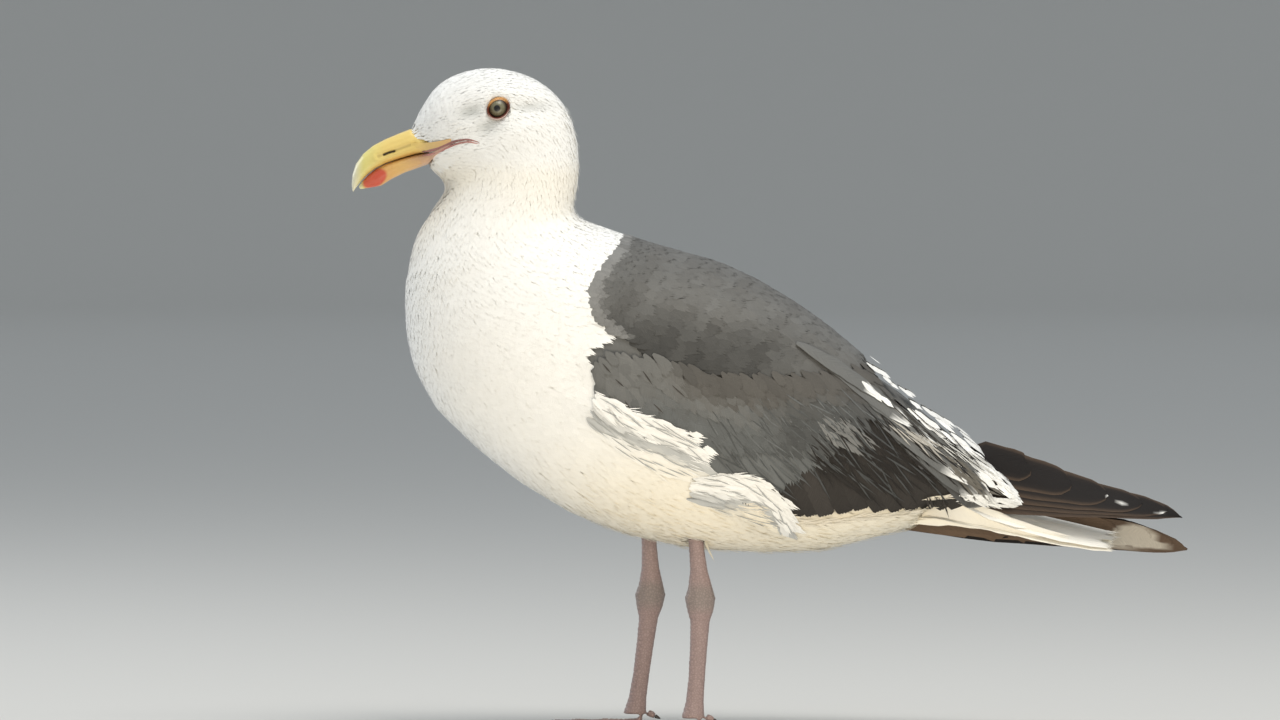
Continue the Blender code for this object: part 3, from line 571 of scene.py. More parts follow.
def trace(surface, roots, heads, length, rows, turn=0.0):
    """Middle lines of feathers that follow a surface and leave it at an edge."""
    count = len(roots)
    centre, normal = np.empty((count, rows, 3)), np.empty((count, rows, 3))
    ahead = np.empty((count, rows, 3))
    place, head = roots.copy(), heads.copy()
    step = (length / (rows - 1))[:, None]
    before = None
    for r in range(rows):
        hit, out = surface.nearest(place)
        if before is not None:
            off = (out * before).sum(1) < SHARPEST_BEND
            off |= np.linalg.norm(hit - place, axis=1) > step[:, 0]
            hit = np.where(off[:, None], place, hit)
            out = np.where(off[:, None], before, out)
        head = unit(head - (head * out).sum(1, keepdims=True) * out)
        bend = np.broadcast_to(np.asarray(turn) / (rows - 1), (count,))[:, None]
        head = unit(head + np.cross(out, head) * bend)
        centre[:, r], normal[:, r], ahead[:, r] = hit, out, head
        place, before = hit + head * step, out
    return centre, normal, ahead


def width_profile(rows, tip):
    """Half width of a feather from root to tip, as a share of its widest."""
    s = np.linspace(0, 1, rows)
    return np.interp(s, (0, 0.15, 0.45, 0.8, 1.0), (0.25, 0.62, 1.0, 0.92, tip))


def side_edges(surface, centre, normal, ahead, half):
    """Where a feather's two edges rest on the surface, from its middle line."""
    side = np.cross(normal, ahead)
    edges = []
    for sign in (-1, 1):
        place = centre + sign * side * half[..., None]
        hit, out = surface.nearest(place)
        off = ((out * normal).sum(2) < SHARPEST_FOLD) | (
            np.linalg.norm(hit - place, axis=2) > 0.6 * half)
        edges.append(np.where(off[..., None], place, hit) - centre)
    return edges


def lay_vanes(surface, roots, heads, length, width, colours, rows=5, tip=0.55, turn=0.0,
              hug=True, **how):
    """Feathers laid on a surface from their roots."""
    count = len(roots)
    length, width = np.broadcast_to(length, (count,)), np.broadcast_to(width, (count,))
    centre, normal, ahead = trace(surface, roots, heads, length, rows, turn)
    half = (width / 2)[:, None] * width_profile(rows, tip)[None]
    if hug:
        edges = side_edges(surface, centre, normal, ahead, half)
    else:
        edges = [sign * np.cross(normal, ahead) * half[..., None] for sign in (-1, 1)]
    return vanes(centre, normal, ahead, half, edges, colours, **how)


def quills(paths, normals, half, colours, **how):
    """Free feathers from their own middle lines, (feathers, rows, 3)."""
    ahead = unit(np.gradient(paths, axis=1))
    normals = unit(normals - (normals * ahead).sum(2, keepdims=True) * ahead)
    side = np.cross(normals, ahead)
    edges = [sign * side * half[..., None] for sign in (-1, 1)]
    return vanes(paths, normals, ahead, half, edges, colours, **how)


END_ROUND = 0.5                    # how far a tip's corners stay back


def vanes(centre, normal, ahead, half, edges, colours, columns=7, sink=0.5, rise=1.2,
          slope=0.3, camber=0.35, thick=0.25, fringe=0.10, ragged=0.08, roll=0.0, layer=0.0,
          tip_share=0.0, edge_colour=None, edge_share=0.0, soft=False, markings=None,
          jitter_lift=0.06, cell=None):
    """Closed thin vanes round given middle lines, as points, triangles, colours and places.

    sink and rise are the root's depth and the tip's height (mm), slope the part of the rise
    spread evenly; roll lifts one edge; layer is each feather's own height; fringe is how far
    the tip's barbs part; cell is where the feathers lie on the OFBake map's sheet."""
    count, rows = centre.shape[:2]
    length = np.linalg.norm(np.diff(centre, axis=1), axis=2).sum(1)[:, None, None]
    low, high = edges
    side = np.cross(normal, ahead)
    u, s = np.linspace(-1, 1, columns), np.linspace(0, 1, rows)
    points = (centre[:, :, None] + (high - low)[:, :, None] / 2 * u[:, None]
              + (high + low)[:, :, None] / 2 * (u ** 2)[:, None])
    own = np.broadcast_to(layer, (count,))[:, None, None] * MM
    climb = (sink + rise - slope) * (1 - (1 - s) ** 3) + slope * s - sink
    lift = (climb[:, None] * MM + own + draw.normal(0, jitter_lift, (count, 1, 1)) * MM
            - camber * MM * u ** 2 + roll * MM * u)
    points = points + normal[:, :, None] * lift[..., None]
    jitter = draw.uniform(-1, 1, (count, rows, columns))
    reach = np.zeros((rows, columns))
    reach[-1, 1::2], reach[-1, 0::2] = 1.0, -0.55
    reach[-1] -= END_ROUND * u ** 2
    push = reach * fringe * (1 + 0.6 * jitter) * length
    back = np.clip(-push[:, -1] / length[:, 0] * (rows - 1), 0, 1)[..., None]
    spread = points - centre[:, :, None]
    points[:, -1] = centre[:, -1, None] + spread[:, -1] * (1 - back) + spread[:, -2] * back
    points += ahead[:, :, None] * push[..., None]
    edge = np.zeros((rows, columns))
    edge[1:, 0], edge[1:, -1] = -1, 1
    slip = edge * ragged * jitter * half[:, :, None]
    points += side[:, :, None] * slip[..., None]
    keel = centre + normal * (lift[:, :, columns // 2] - thick * MM)[..., None]
    back = min(0.9, 1.7 * (0.55 + END_ROUND) * fringe * (rows - 1))
    keel[:, -1] += (keel[:, -2] - keel[:, -1]) * back
    whole = np.concatenate([points, keel[:, :, None]], axis=2)
    ring = columns + 1
    u = np.append(u, 0.0)
    along = np.broadcast_to(s[:, None], (count, rows, ring)).copy()
    along[:, :, :columns] += push / length
    across = np.broadcast_to(u, along.shape)
    shade = np.broadcast_to(np.asarray(colours)[:, None, None], whole.shape)
    if edge_colour is not None:
        shade = mix(shade, edge_colour, edge_share * across ** 4 * ramp(along, 0.2, 0.6))
    if tip_share:
        wave = 0.02 * draw.normal(0, 1, along.shape)
        mask = ramp(along + 0.4 * tip_share * across ** 2 + wave, 1.0 - tip_share,
                    1.03 - tip_share * 0.7)
        shade = mix(shade, WHITE, mask)
    if markings is not None:
        shade = markings(whole, across, shade)
    vane_u = u * half[:, :, None] / MM
    vane_v = along * length / MM + draw.uniform(0, 900, (count, 1, 1))
    faces = vane_faces(rows, columns) + (np.arange(count) * rows * ring)[:, None, None]
    if cell is None:
        root = unwrap(centre[:, 0])[:, None, None]
        sheet_u, sheet_v = root[..., 0] + across * 0.0013, root[..., 1] + (along - 0.5) * 0.0026
    else:
        first, wide, high = cell
        number = first + np.arange(count)[:, None, None]
        sheet_u = (number % wide + 0.5 + 0.42 * across) / wide
        sheet_v = (number // wide + 0.06 + 0.84 * np.clip(along, 0, 1.1)) / high
    out = np.broadcast_to(normal[:, :, None] * float(soft), whole.shape)
    return {"faces": faces.reshape(-1, 3), "points": whole.reshape(-1, 3),
            "colours": shade.reshape(-1, 3), "normals": out.reshape(-1, 3),
            "vane": np.stack([vane_u, vane_v], -1).reshape(-1, 2),
            "patch": np.stack([sheet_u, sheet_v], -1).reshape(-1, 2)}


def mirrored(feathers):
    """The same feathers on the bird's other side."""
    made = dict(feathers)
    for key in ("points", "normals"):
        made[key] = feathers[key] * np.array((1, -1, 1))
    made["faces"] = feathers["faces"][:, ::-1]
    return made


def joined(sets):
    """Several feather sets as one."""
    start, faces = 0, []
    for part in sets:
        faces.append(part["faces"] + start)
        start += len(part["points"])
    made = {key: np.concatenate([part[key] for part in sets])
            for key in ("points", "colours", "vane", "patch", "normals")}
    made["faces"] = np.concatenate(faces)
    return made


UNDERSIDE = -0.3                   # a face that looks this far inwards is a feather's underside


def coat_piece(name, feathers, material, slot, *replaced):
    """Feathers as a piece, with the normals of the surface they lie on where these are given."""
    mesh = piece(name, feathers["points"], feathers["faces"], feathers["colours"], material,
                 slot, *replaced)
    map_uv(mesh, "Vane", feathers["vane"])
    map_uv(mesh, "OFBake", feathers["patch"])
    mesh.uv_layers["OFBake"].active = True
    mesh.uv_layers["OFBake"].active_render = True
    given = feathers["normals"][feathers["faces"]]
    if np.any(given):
        corners = feathers["points"][feathers["faces"]]
        face_out = unit(np.cross(corners[:, 1] - corners[:, 0], corners[:, 2] - corners[:, 0]))
        under = (given.mean(1) * face_out).sum(1) < UNDERSIDE
        given[under] *= -1
        mesh.normals_split_custom_set(given.reshape(-1, 3).tolist())


def scatter(surface, spacing_of, keep):
    """Places on a surface no nearer each other than their own spacing (mm)."""
    middle = surface.points[surface.faces].mean(1)
    spacing = spacing_of(middle)
    wanted = surface.areas * keep(middle) / (spacing * MM) ** 2
    count = int(9 * wanted.sum())
    chosen = draw.choice(len(middle), count, p=wanted / wanted.sum())
    a, b = draw.random(count), draw.random(count)
    flip = a + b > 1
    a[flip], b[flip] = 1 - a[flip], 1 - b[flip]
    corner = surface.points[surface.faces[chosen]]
    places = (corner[:, 0] + (corner[:, 1] - corner[:, 0]) * a[:, None]
              + (corner[:, 2] - corner[:, 0]) * b[:, None])
    return places[thinned(places, spacing[chosen] * MM)]


def thinned(places, own):
    """Which places stay when each keeps its own distance from those before it."""
    tree = KDTree(len(places))
    rows = places.tolist()
    for i, place in enumerate(rows):
        tree.insert(place, i)
    tree.balance()
    taken = np.zeros(len(places), bool)
    picked = []
    for i in range(len(places)):
        if not taken[i]:
            picked.append(i)
            for _, j, _ in tree.find_range(rows[i], own[i]):
                taken[j] = True
    return picked


# ---- skin
EYE_AT = np.array((-165.6, 18.7, 379.2)) * MM       # right eye; the left is its mirror
EYE_BALL = 6.7


def eye_distance(points):
    """Distance (mm) from the middle of the nearer eyeball."""
    place = points * np.array((1, 0, 1)) + np.abs(points) * np.array((0, 1, 0))
    return np.linalg.norm(place - EYE_AT, axis=-1) / MM


def coat_depth(points):
    """How deep the skin lies under the feathers' outline, in metres."""
    station, _ = along_body(points)
    depth = np.interp(station, (0, 25, 90, 150, 240), (0.35, 0.55, 0.9, 1.6, 2.2))
    return np.minimum(depth, 0.35 + 0.08 * np.maximum(eye_distance(points) - 7, 0)) * MM


TRACTS = (("head", "neck", "trunk"), ("mantle",), ("wing_coverts_left", "wing_coverts_right"),
          WINGS)


def raw_tree(*names):
    """A search tree of the named solids as they are."""
    points, faces, start = [], [], 0
    for name in names:
        p, f = node_mesh(name)
        points.append(p)
        faces.append(f + start)
        start += len(p)
    return BVHTree.FromPolygons(np.concatenate(points).tolist(), np.concatenate(faces).tolist())


TREES = [raw_tree(*names) for names in TRACTS]


def tract_of(points):
    """Which tract each point belongs to: 0 white, 1 mantle, 2 coverts, 3 quills."""
    away = np.empty((len(TREES), len(points)))
    for k, tree in enumerate(TREES):
        away[k] = [tree.find_nearest(p)[3] for p in points.tolist()]
    return away.argmin(0)


FAIR_ROUNDS, BODY_VOXEL = 24, 0.0021
WING_COVER = 0.0042                # skin deeper than this (m) lies under the folded wing


def faired(names):
    """One smooth surface of the named solids; the head and the wings keep more of their form."""
    points, faces = merged(names, BODY_VOXEL, 4)
    station, _ = along_body(points)
    tract = tract_of(points)
    share = np.where(tract == 0, np.interp(station, (60, 130, 200), (0.12, 0.5, 1.0)), 0.25)
    return fair(points, faces, FAIR_ROUNDS, share), faces


FACE_FORMS = (                     # x, z, half length, half height, lean in degrees, height (mm)
    (-183.0, 377.5, 9.0, 5.5, 12, -2.0),       # hollow before the eye
    (-171.5, 368.5, 8.0, 4.5, 25, -1.2),       # under the eye
    (-147.0, 380.5, 13.0, 3.6, 5, -1.5),       # groove behind the eye
    (-164.0, 389.0, 12.0, 4.0, 0, 1.1),        # brow
    (-150.0, 366.0, 12.0, 7.0, 10, 1.3),       # cheek
    (-190.0, 352.5, 12.0, 3.2, 12, 0.9),       # feathers below the mouth's corner
    (-200.0, 366.0, 7.0, 3.0, 25, 0.5),        # feathers above the bill's side
)


def face_form(points):
    """Hollows and swellings of the face, in metres outwards."""
    x, z = points[..., 0] / MM, points[..., 2] / MM
    height = sum(rise * blot(x, z, *oval) for *oval, rise in FACE_FORMS)
    return height * ramp(np.abs(points[..., 1]) / MM, 7, 14) * MM


drape = Surface(*faired(FLESH + WINGS))
skin_points, skin_faces = faired(FLESH)
skin_out = Surface(skin_points, skin_faces)
skin_points = skin_points + skin_out.normals * face_form(skin_points)[:, None]
skin_out = Surface(skin_points, skin_faces)
skin_points = skin_points - skin_out.normals * coat_depth(skin_points)[:, None]
skin = Surface(skin_points, skin_faces)
skin_tract = tract_of(skin_points + skin.normals * coat_depth(skin_points)[:, None])
skin_hidden = np.linalg.norm(drape.nearest(skin_points)[0] - skin_points, axis=1) > WING_COVER

skin_mesh = piece("gull_skin", skin_points, skin_faces, plumage_colour(skin_points, skin_tract),
                  white_down, "white_feathers", *FLESH, sharp=180)
map_uv(skin_mesh, "Vane", np.stack([skin_points[:, 1], skin_points[:, 0]], 1) / MM)
loop_uv = unwrap(skin_points)[skin_faces]
wide = np.ptp(loop_uv[..., 0], axis=1) > 0.5
loop_uv[..., 0] += np.where(wide[:, None] & (loop_uv[..., 0] < 0.5), 0.95, 0.0)
loop_uv[..., 0] *= 0.5
bake_layer = skin_mesh.uv_layers.new(name="OFBake")
bake_layer.data.foreach_set("uv", loop_uv.astype(np.float32).ravel())
bake_layer.active = True

# ---- contour feathers
face_tract = skin_tract[skin_faces].max(1)
face_hidden = skin_hidden[skin_faces].any(1)


def white_spacing(points):
    """Distance (mm) between white feathers: close on the face, wide on the belly."""
    station, _ = along_body(points)
    spacing = np.interp(station, (0, 20, 60, 110, 170, 240, 420),
                        (1.0, 1.1, 1.4, 1.7, 2.2, 2.7, 3.1))
    return np.minimum(spacing, 1.1 + 0.10 * np.maximum(eye_distance(points) - 6, 0))


LEG_CLEARANCE = (0.0022, 0.007)    # metres round the shank, and as far before it
HORN_AREA = ((-222, 362), (-210.8, 359), (-202.9, 360), (-193, 361.6), (-190.5, 359.5),
             (-200, 352), (-204.5, 347), (-211, 342), (-222, 340))


def keep_white(points):
    """Where white feathers grow: not under the wings, on the legs, the horn or the eyes."""
    _, heading = along_body(points)
    tips = points + LEG_CLEARANCE[1] * heading
    bare = np.array([min(leg_tree.find_nearest(p)[3], leg_tree.find_nearest(q)[3])
                     < LEG_CLEARANCE[0] for p, q in zip(points.tolist(), tips.tolist())])
    horn = inside(points[:, ::2] / MM, HORN_AREA)
    return ((face_tract == 0) & ~face_hidden & ~bare & ~horn
            & (eye_distance(points) > EYE_BALL + 0.2))


def keep_mantle(points):
    """Where the mantle's feathers grow."""
    return (face_tract == 1) & ~face_hidden


def body_feathers(roots, spacing, length_share, width_share, **how):
    """Body feathers at roots, as long and wide as shares of their spacing."""
    _, out = skin.nearest(roots)
    _, heading = along_body(roots)
    loose = draw.normal(0, 0.10, len(roots))[:, None]
    heading = heading + np.cross(out, heading) * loose
    back = heading * (spacing * length_share * 0.6 * MM)[:, None]
    roots = skin.nearest(roots - back)[0]
    return lay_vanes(skin, roots, heading, spacing * length_share * MM,
                     spacing * width_share * MM, **how)


leg_tree = raw_tree("shank_left", "shank_right")
white_roots = scatter(skin, white_spacing, keep_white)
white_gap = white_spacing(white_roots)
white_tone = plumage_colour(white_roots, np.zeros(len(white_roots), int))
white_tone = white_tone * draw.normal(1.0, 0.012, (len(white_roots), 1))
station, _ = along_body(white_roots)
FACE_DOWN = dict(columns=3, sink=0.3, rise=0.7, thick=0.10, slope=0.15, camber=0.08,
                 fringe=0.10, tip=0.35)
NECK_DOWN = dict(columns=5, sink=0.5, rise=1.2, thick=0.12, slope=0.15, camber=0.10,
                 fringe=0.10, tip=0.4)
BANDS = (                          # piece, stations, length and width shares, form
    ("face", 0, 82, 4.4, 1.5, FACE_DOWN), ("head", 82, 120, 4.4, 1.5, FACE_DOWN),
    ("neck", 120, 178, 5.0, 1.7, NECK_DOWN),
    ("breast", 178, 235, 5.0, 1.7, NECK_DOWN | dict(fringe=0.11)),
    ("belly", 235, 999, 5.4, 1.7, dict(columns=5, sink=0.6, rise=1.8, thick=0.14, slope=0.28,
                                       camber=0.13, fringe=0.14, tip=0.4)))
WISP = dict(columns=3, sink=0.3, thick=0.12, camber=0.05, fringe=0.12, soft=True)
NAPE = ((-131, 386), (-122, 366), (-118.5, 345), (-119, 325), (-121, 312))
NAPE_COUNT = 110

bands = {}
for label, start, end, long, wide, form in BANDS:
    own = (station >= start) & (station < end)
    bands[label] = body_feathers(white_roots[own], white_gap[own], long, wide, rows=4,
                                 colours=white_tone[own], soft=True, **form)
nape = smooth_line(NAPE, NAPE_COUNT)
nape = xyz(nape[:, 0], draw.uniform(-14, 14, NAPE_COUNT), nape[:, 1]) * MM
nape_roots = skin.nearest(nape)[0]
nape_set = lay_vanes(skin, nape_roots, along_body(nape_roots)[1], 6.0 * MM, 1.0 * MM,
                     np.broadcast_to(WHITE, nape.shape), rows=4, rise=1.9, slope=1.6, tip=0.2,
                     **WISP)
bands["head"] = joined([bands["head"], nape_set])
facing_down = skin.nearest(white_roots)[1][:, 2] < -0.5
low = (station > 235) & facing_down & (draw.random(len(station)) < 0.3)
fuzz_set = lay_vanes(skin, white_roots[low], along_body(white_roots[low])[1], 12.0 * MM, 1.0 * MM,
                     white_tone[low], rows=5, rise=3.2, slope=2.2, tip=0.15, **WISP)
bands["belly"] = joined([bands["belly"], fuzz_set])
for label, made in bands.items():
    coat_piece(label + "_feathers", made, white_down, "white_feathers")


def mantle_spacing(points):
    """Close and small along the mantle's front edge, wider over the back."""
    behind = behind_front(points[..., 0] / MM, points[..., 2] / MM)
    return np.interp(behind, (0, 8, 30), (1.9, 2.4, 4.6))


mantle_roots = scatter(skin, mantle_spacing, keep_mantle)
mantle_gap = mantle_spacing(mantle_roots)
mantle_tone = plumage_colour(mantle_roots, np.ones(len(mantle_roots), int))
mantle_tone = mantle_tone * draw.normal(1.0, 0.03, (len(mantle_roots), 1))
mantle_set = body_feathers(mantle_roots, mantle_gap, 5.6, 2.4, colours=mantle_tone, sink=0.6,
                           rise=1.9, slope=0.4, thick=0.15, camber=0.2, fringe=0.08, tip=0.45,
                           soft=True)
coat_piece("mantle_feathers", mantle_set, slate_vane, "slate_feathers")

# ---- folded wings
def on_side(place, deep=0.2):
    """Points of the left side's surface at side-view places (mm)."""
    places = np.asarray(place, float) * MM
    found = np.empty((len(places), 3))
    for i, (x, z) in enumerate(places.tolist()):
        hit = drape.tree.ray_cast((x, -deep, z), (0, 1, 0))[0]
        found[i] = hit if hit is not None else drape.tree.find_nearest((x, -0.05, z))[0]
    return found


def feather_row(roots, tips, count, width, tone, spread=0.06, **how):
    """One row of the left wing, from root and tip lines in the side view."""
    start, end = smooth_line(roots, count), smooth_line(tips, count)
    start = start + draw.normal(0, 0.8, start.shape)
    end = end + draw.normal(0, 0.8, end.shape)
    way = end - start
    length = np.linalg.norm(way, axis=1) * MM
    heads = xyz(way[:, 0], 0, way[:, 1]) * MM
    colours = np.broadcast_to(np.asarray(tone, float), (count, 3))
    colours = colours * draw.normal(1.0, spread, (count, 1))
    width = np.atleast_1d(width)
    width = np.interp(np.linspace(0, 1, count), np.linspace(0, 1, len(width)), width) * MM
    return lay_vanes(drape, on_side(start), unit(heads), length, width, colours,
                     **(dict(soft=True) | how))


COVERT_AREA = CREASE + ((60, 214), (58, 203), (34, 188), (10, 182), (-20, 181), (-50, 186),
                        (-78, 192), (-98, 203), (-108, 214), (-110, 228))


def sown(outline, spacing, tries):
    """Side-view places drawn within an outline, no nearer each other than spacing (mm)."""
    outline = np.array(outline, float)
    low, high = outline.min(0), outline.max(0)
    if tries is None:
        tries = int(10 * np.prod(high - low) / spacing ** 2)
    places = draw.uniform(low, high, (tries, 2))
    places = places[inside(places, outline)]
    flat = xyz(places[:, 0], 0, places[:, 1]) * MM
    return places[thinned(flat, np.full(len(flat), spacing * MM))]


def leaning(lie):
    """Directions in the side view from angles in degrees."""
    lie = np.radians(lie)
    return xyz(np.cos(lie), 0, np.sin(lie))


def patch_feathers(outline, spacing, angles, length, width, tone, spread=0.06, **how):
    """Left-side feathers rooted within a side-view outline (mm).

    angles holds x and the feathers' lie there in degrees; tone is a colour or a function."""
    places = sown(outline, spacing, None)
    heads = leaning(table_at(angles, places[:, 0])[0]
                    + draw.normal(0, 8 if width < 2 else 5, len(places)))
    if callable(how.get("layer")):
        how["layer"] = how["layer"](places)
    colours = tone(places) if callable(tone) else np.broadcast_to(tone, (len(places), 3))
    colours = colours * draw.normal(1.0, spread, (len(places), 1))
    length = length * draw.uniform(0.65, 1.3, len(places)) * MM
    return lay_vanes(drape, on_side(places), heads, length, width * MM, colours, soft=True, **how)


HAIR = dict(rows=5, columns=3, fringe=0.12, tip=0.12, thick=0.12, camber=0.05, ragged=0.2)
COVERT_LIE = ((-110, -58), (-60, -52), (0, -44), (60, -34))


def covert_tone(places):
    """Grey of the lesser coverts: paler near the crease, partly a painted highlight on the
    wing's top edge; browner just under the crease; painted shadow further back below it;
    and a soft mottle.
    """
    x, z = places.T
    below = -over_crease(x, z)
    # paler near the crease: partly own grey, partly a painted highlight on the wing's top edge
    tone = mix(np.array(SLATE) * 1.05, COVERT_GREY, ramp(below, 8, 30))
    tone = mix(tone, np.array(BROWN_SLATE) * 0.9, ramp(-below, -16, -6) * ramp(x, -80, -50))
    # painted shadow further back, below the crease
    tone = mix(tone, SLATE_SHADOW, 0.6 * ramp(x, -20, 5) * ramp(below, 6, 16))
    return tone * (1 + 0.08 * np.sin(x * 0.21 + z * 0.1) * np.sin(z * 0.19 - x * 0.04))[:, None]


COVERT_VANE = dict(columns=11, camber=0.25, roll=-0.25)
COVERT_ROWS = (                    # roots, tips, count, widths, shade of grey, form
    (((-78, 206), (-40, 201), (0, 203), (40, 210)),
     ((-66, 178), (-36, 157), (-4, 146), (20, 157), (44, 176), (62, 197)), 14, (14, 20, 21), 1.2,
     COVERT_VANE | dict(rows=9, sink=0.3, rise=0.8, camber=0.3, fringe=0.05, tip=0.42,
                        turn=-0.25, edge_colour=np.array(COVERT_GREY) * 1.5, edge_share=0.3)),
    (((-92, 214), (-60, 211), (-20, 209), (20, 211), (48, 218)),
     ((-82, 188), (-50, 178), (-10, 172), (34, 178), (64, 200)), 18, (13, 17, 18), 0.88,
     COVERT_VANE | dict(rows=7, sink=0.2, rise=0.9, thick=0.2, fringe=0.09, tip=0.45,
                        turn=-0.2, layer=0.3, edge_colour=np.array(SLATE) * 1.2,
                        edge_share=0.25)))
COVERT_SCALES = dict(rows=6, sink=0.2, rise=1.0, slope=0.4, thick=0.15, camber=0.15,
                     fringe=0.13, tip=0.4, layer=0.5)
REAR_COVERTS = ((-40, 200), (58, 215), (60, 200), (20, 165), (-8, 152), (-40, 172))
COVERT_STREAKS = (                 # outline, gap, length, width, colour, rise, layer
    # dark strands near the wrist: painted shade that stands for the gaps between lesser coverts
    (((-104, 226), (-60, 222), (-52, 206), (-70, 196), (-92, 203)), 12.0, 8, 0.9,
     np.array(DARK_BROWN) * 1.1, 0.25, 1.6),
    (REAR_COVERTS, 6.0, 19, 1.0, np.array(COVERT_GREY) * 0.72, 0.2, 1.35),
    (REAR_COVERTS, 7.0, 19, 1.0, np.array(COVERT_GREY) * 1.12, 0.2, 1.35),
    (((28, 196), (44, 193), (52, 183), (44, 176), (26, 186)), 2.6, 14, 2.2,
     np.array(SLATE) * 1.3, 0.3, 1.3))


def wing_coverts():
    """Lesser, median and greater coverts of the left wing."""
    sets = [feather_row(roots, tips, count, widths, np.array(COVERT_GREY) * grey, 0.05, **form)
            for roots, tips, count, widths, grey, form in COVERT_ROWS]
    sets.append(patch_feathers(COVERT_AREA, 3.3, COVERT_LIE, 16, 6.0, covert_tone, 0.035,
                               **COVERT_SCALES))
    for area, gap, length, width, tone, rise, layer in COVERT_STREAKS:
        sets.append(patch_feathers(area, gap, COVERT_LIE, length, width, tone, sink=0.0,
                                   rise=rise, layer=layer, **HAIR))
    return joined(sets)


QUILL_ROOTS = ((-50, 192), (-10, 188), (40, 192), (74, 196))
QUILL_TIPS = ((-24, 149), (2, 139), (28, 131), (62, 135.5), (98, 138.5), (124, 138))
QUILL_SHADOW = ((18, 180), (62, 205), (100, 186), (112, 172), (106, 160), (60, 156), (24, 162))
QUILL_LIE = ((0, -48), (60, -40), (120, -34))


def wing_quills():
    """Secondaries and tertials of the left wing, with their white tips."""
    dark = np.array(DARK_BROWN)
    sets = [feather_row(QUILL_ROOTS, QUILL_TIPS, 17, (16, 18, 18), dark * 0.8, 0.10, rows=9,
                        columns=11, sink=0.3, rise=0.6, thick=0.3, camber=0.3, roll=-0.3,
                        fringe=0.010, tip=0.5, turn=-0.18, layer=-0.7)]
    for root, tip, width, layer, grey in TERTIALS:
        sets.append(feather_row(
            (root, root), (tip, tip), 1, width, mix(dark * 0.8, SLATE, grey), 0.03, rows=12,
            columns=13, sink=0.2, rise=1.0, thick=0.45, camber=0.3, roll=-0.3, fringe=0.03,
            tip=0.40, turn=-0.10, layer=layer, hug=False, soft=False, tip_share=0.11,
            edge_colour=np.array(COVERT_GREY) * 1.2, edge_share=0.35))
    for tone, gap in ((dark * 0.5, 4.4), (np.array(COVERT_GREY) * 0.62, 6.5)):
        sets.append(patch_feathers(QUILL_SHADOW, gap, QUILL_LIE, 24, 1.0, tone, sink=0.0,
                                   rise=0.2, layer=1.5, **HAIR))
    for area, gap, tone, angle, length, width, layer in EDGE_AREAS:
        sets.append(patch_feathers(area, gap, ((0, angle), (1, angle)), length, width, tone,
                                   sink=0.0, rise=0.4, layer=layer, **HAIR))
    return joined(sets)


FLANKS = (                         # outline, with its upper edge first, and lie of the feathers
    (((-106, 209), (-91, 199), (-73.5, 193), (-60, 187), (-50, 180), (-50, 162), (-72, 162),
      (-96, 176), (-112, 192)), ((-110, -38), (-70, -24), (-45, -30))),
    (((-48, 157), (-28, 159), (-12, 157), (-4, 150), (3, 140), (9, 131), (4, 126), (-12, 129),
      (-30, 136), (-52, 143)), ((-50, -4), (-20, -20), (0, -46), (15, -64))))


PLUMES = ((3.2, 15, 5.5, 1.1), (3.0, 14, 4.5, 2.0), (2.6, 13, 1.1, 2.4))  # gap, size, height
PLUME_FORM = dict(rows=6, columns=5, slope=0.5, thick=0.15, camber=0.25, fringe=0.16, tip=0.3)


def flank_plumes():
    """White flank feathers that fluff out over the wing's lower edge, with painted shadow
    under each bulge.
    """
    sets = []
    for outline, lie in FLANKS:
        rim = np.array(outline, float)
        upper = rim[:6][np.argsort(rim[:6, 0])]

        def depth(places, upper=upper):
            return np.interp(places[:, 0], upper[:, 0], upper[:, 1]) - places[:, 1]

        def tone(places, depth=depth):
            base = plumage_colour(xyz(places[:, 0], -50.0, places[:, 1]) * MM,
                                  np.zeros(len(places), int))
            # painted shadow under the bulge, then the body's colour and its painted bounce cream
            shaded = mix(WHITE, PLUME_SHADOW, ramp(depth(places), 7, 13))
            return mix(shaded, base, ramp(depth(places), 15, 22))

        def layer(places, high, depth=depth):
            floor = 0.9 * ramp(places[:, 0], -88, -70) * ramp(places[:, 1], 157, 161)
            return np.maximum(high * ramp(-depth(places), -17, -5) - 0.2, floor)

        for gap, length, width, high in PLUMES:
            sets.append(patch_feathers(
                rim, gap, lie, length, width, tone, 0.02, sink=0.3, rise=0.8,
                layer=lambda p, h=high: layer(p, h), **(HAIR if width < 2 else PLUME_FORM)))
        # strands in the grey of the painted shadow
        sets.append(patch_feathers(rim, 4.5, lie, 12, 0.7, np.array(PLUME_SHADOW) * 0.8,
                                   sink=0.0, rise=0.3,
                                   layer=lambda p: layer(p, PLUMES[-1][3]) + 1.0, **HAIR))
        edge = smooth_line(upper, 60) + draw.normal(0, 0.8, (60, 2))
        rim = np.concatenate([edge, edge[::-1] - (0, 3)])
        sets.append(patch_feathers(rim, 1.5, np.array(lie) + (0, 14), 8, 0.6, WHITE, 0.02,
                                   sink=0.0, rise=1.2, layer=2.0, **HAIR))
    return joined(sets)


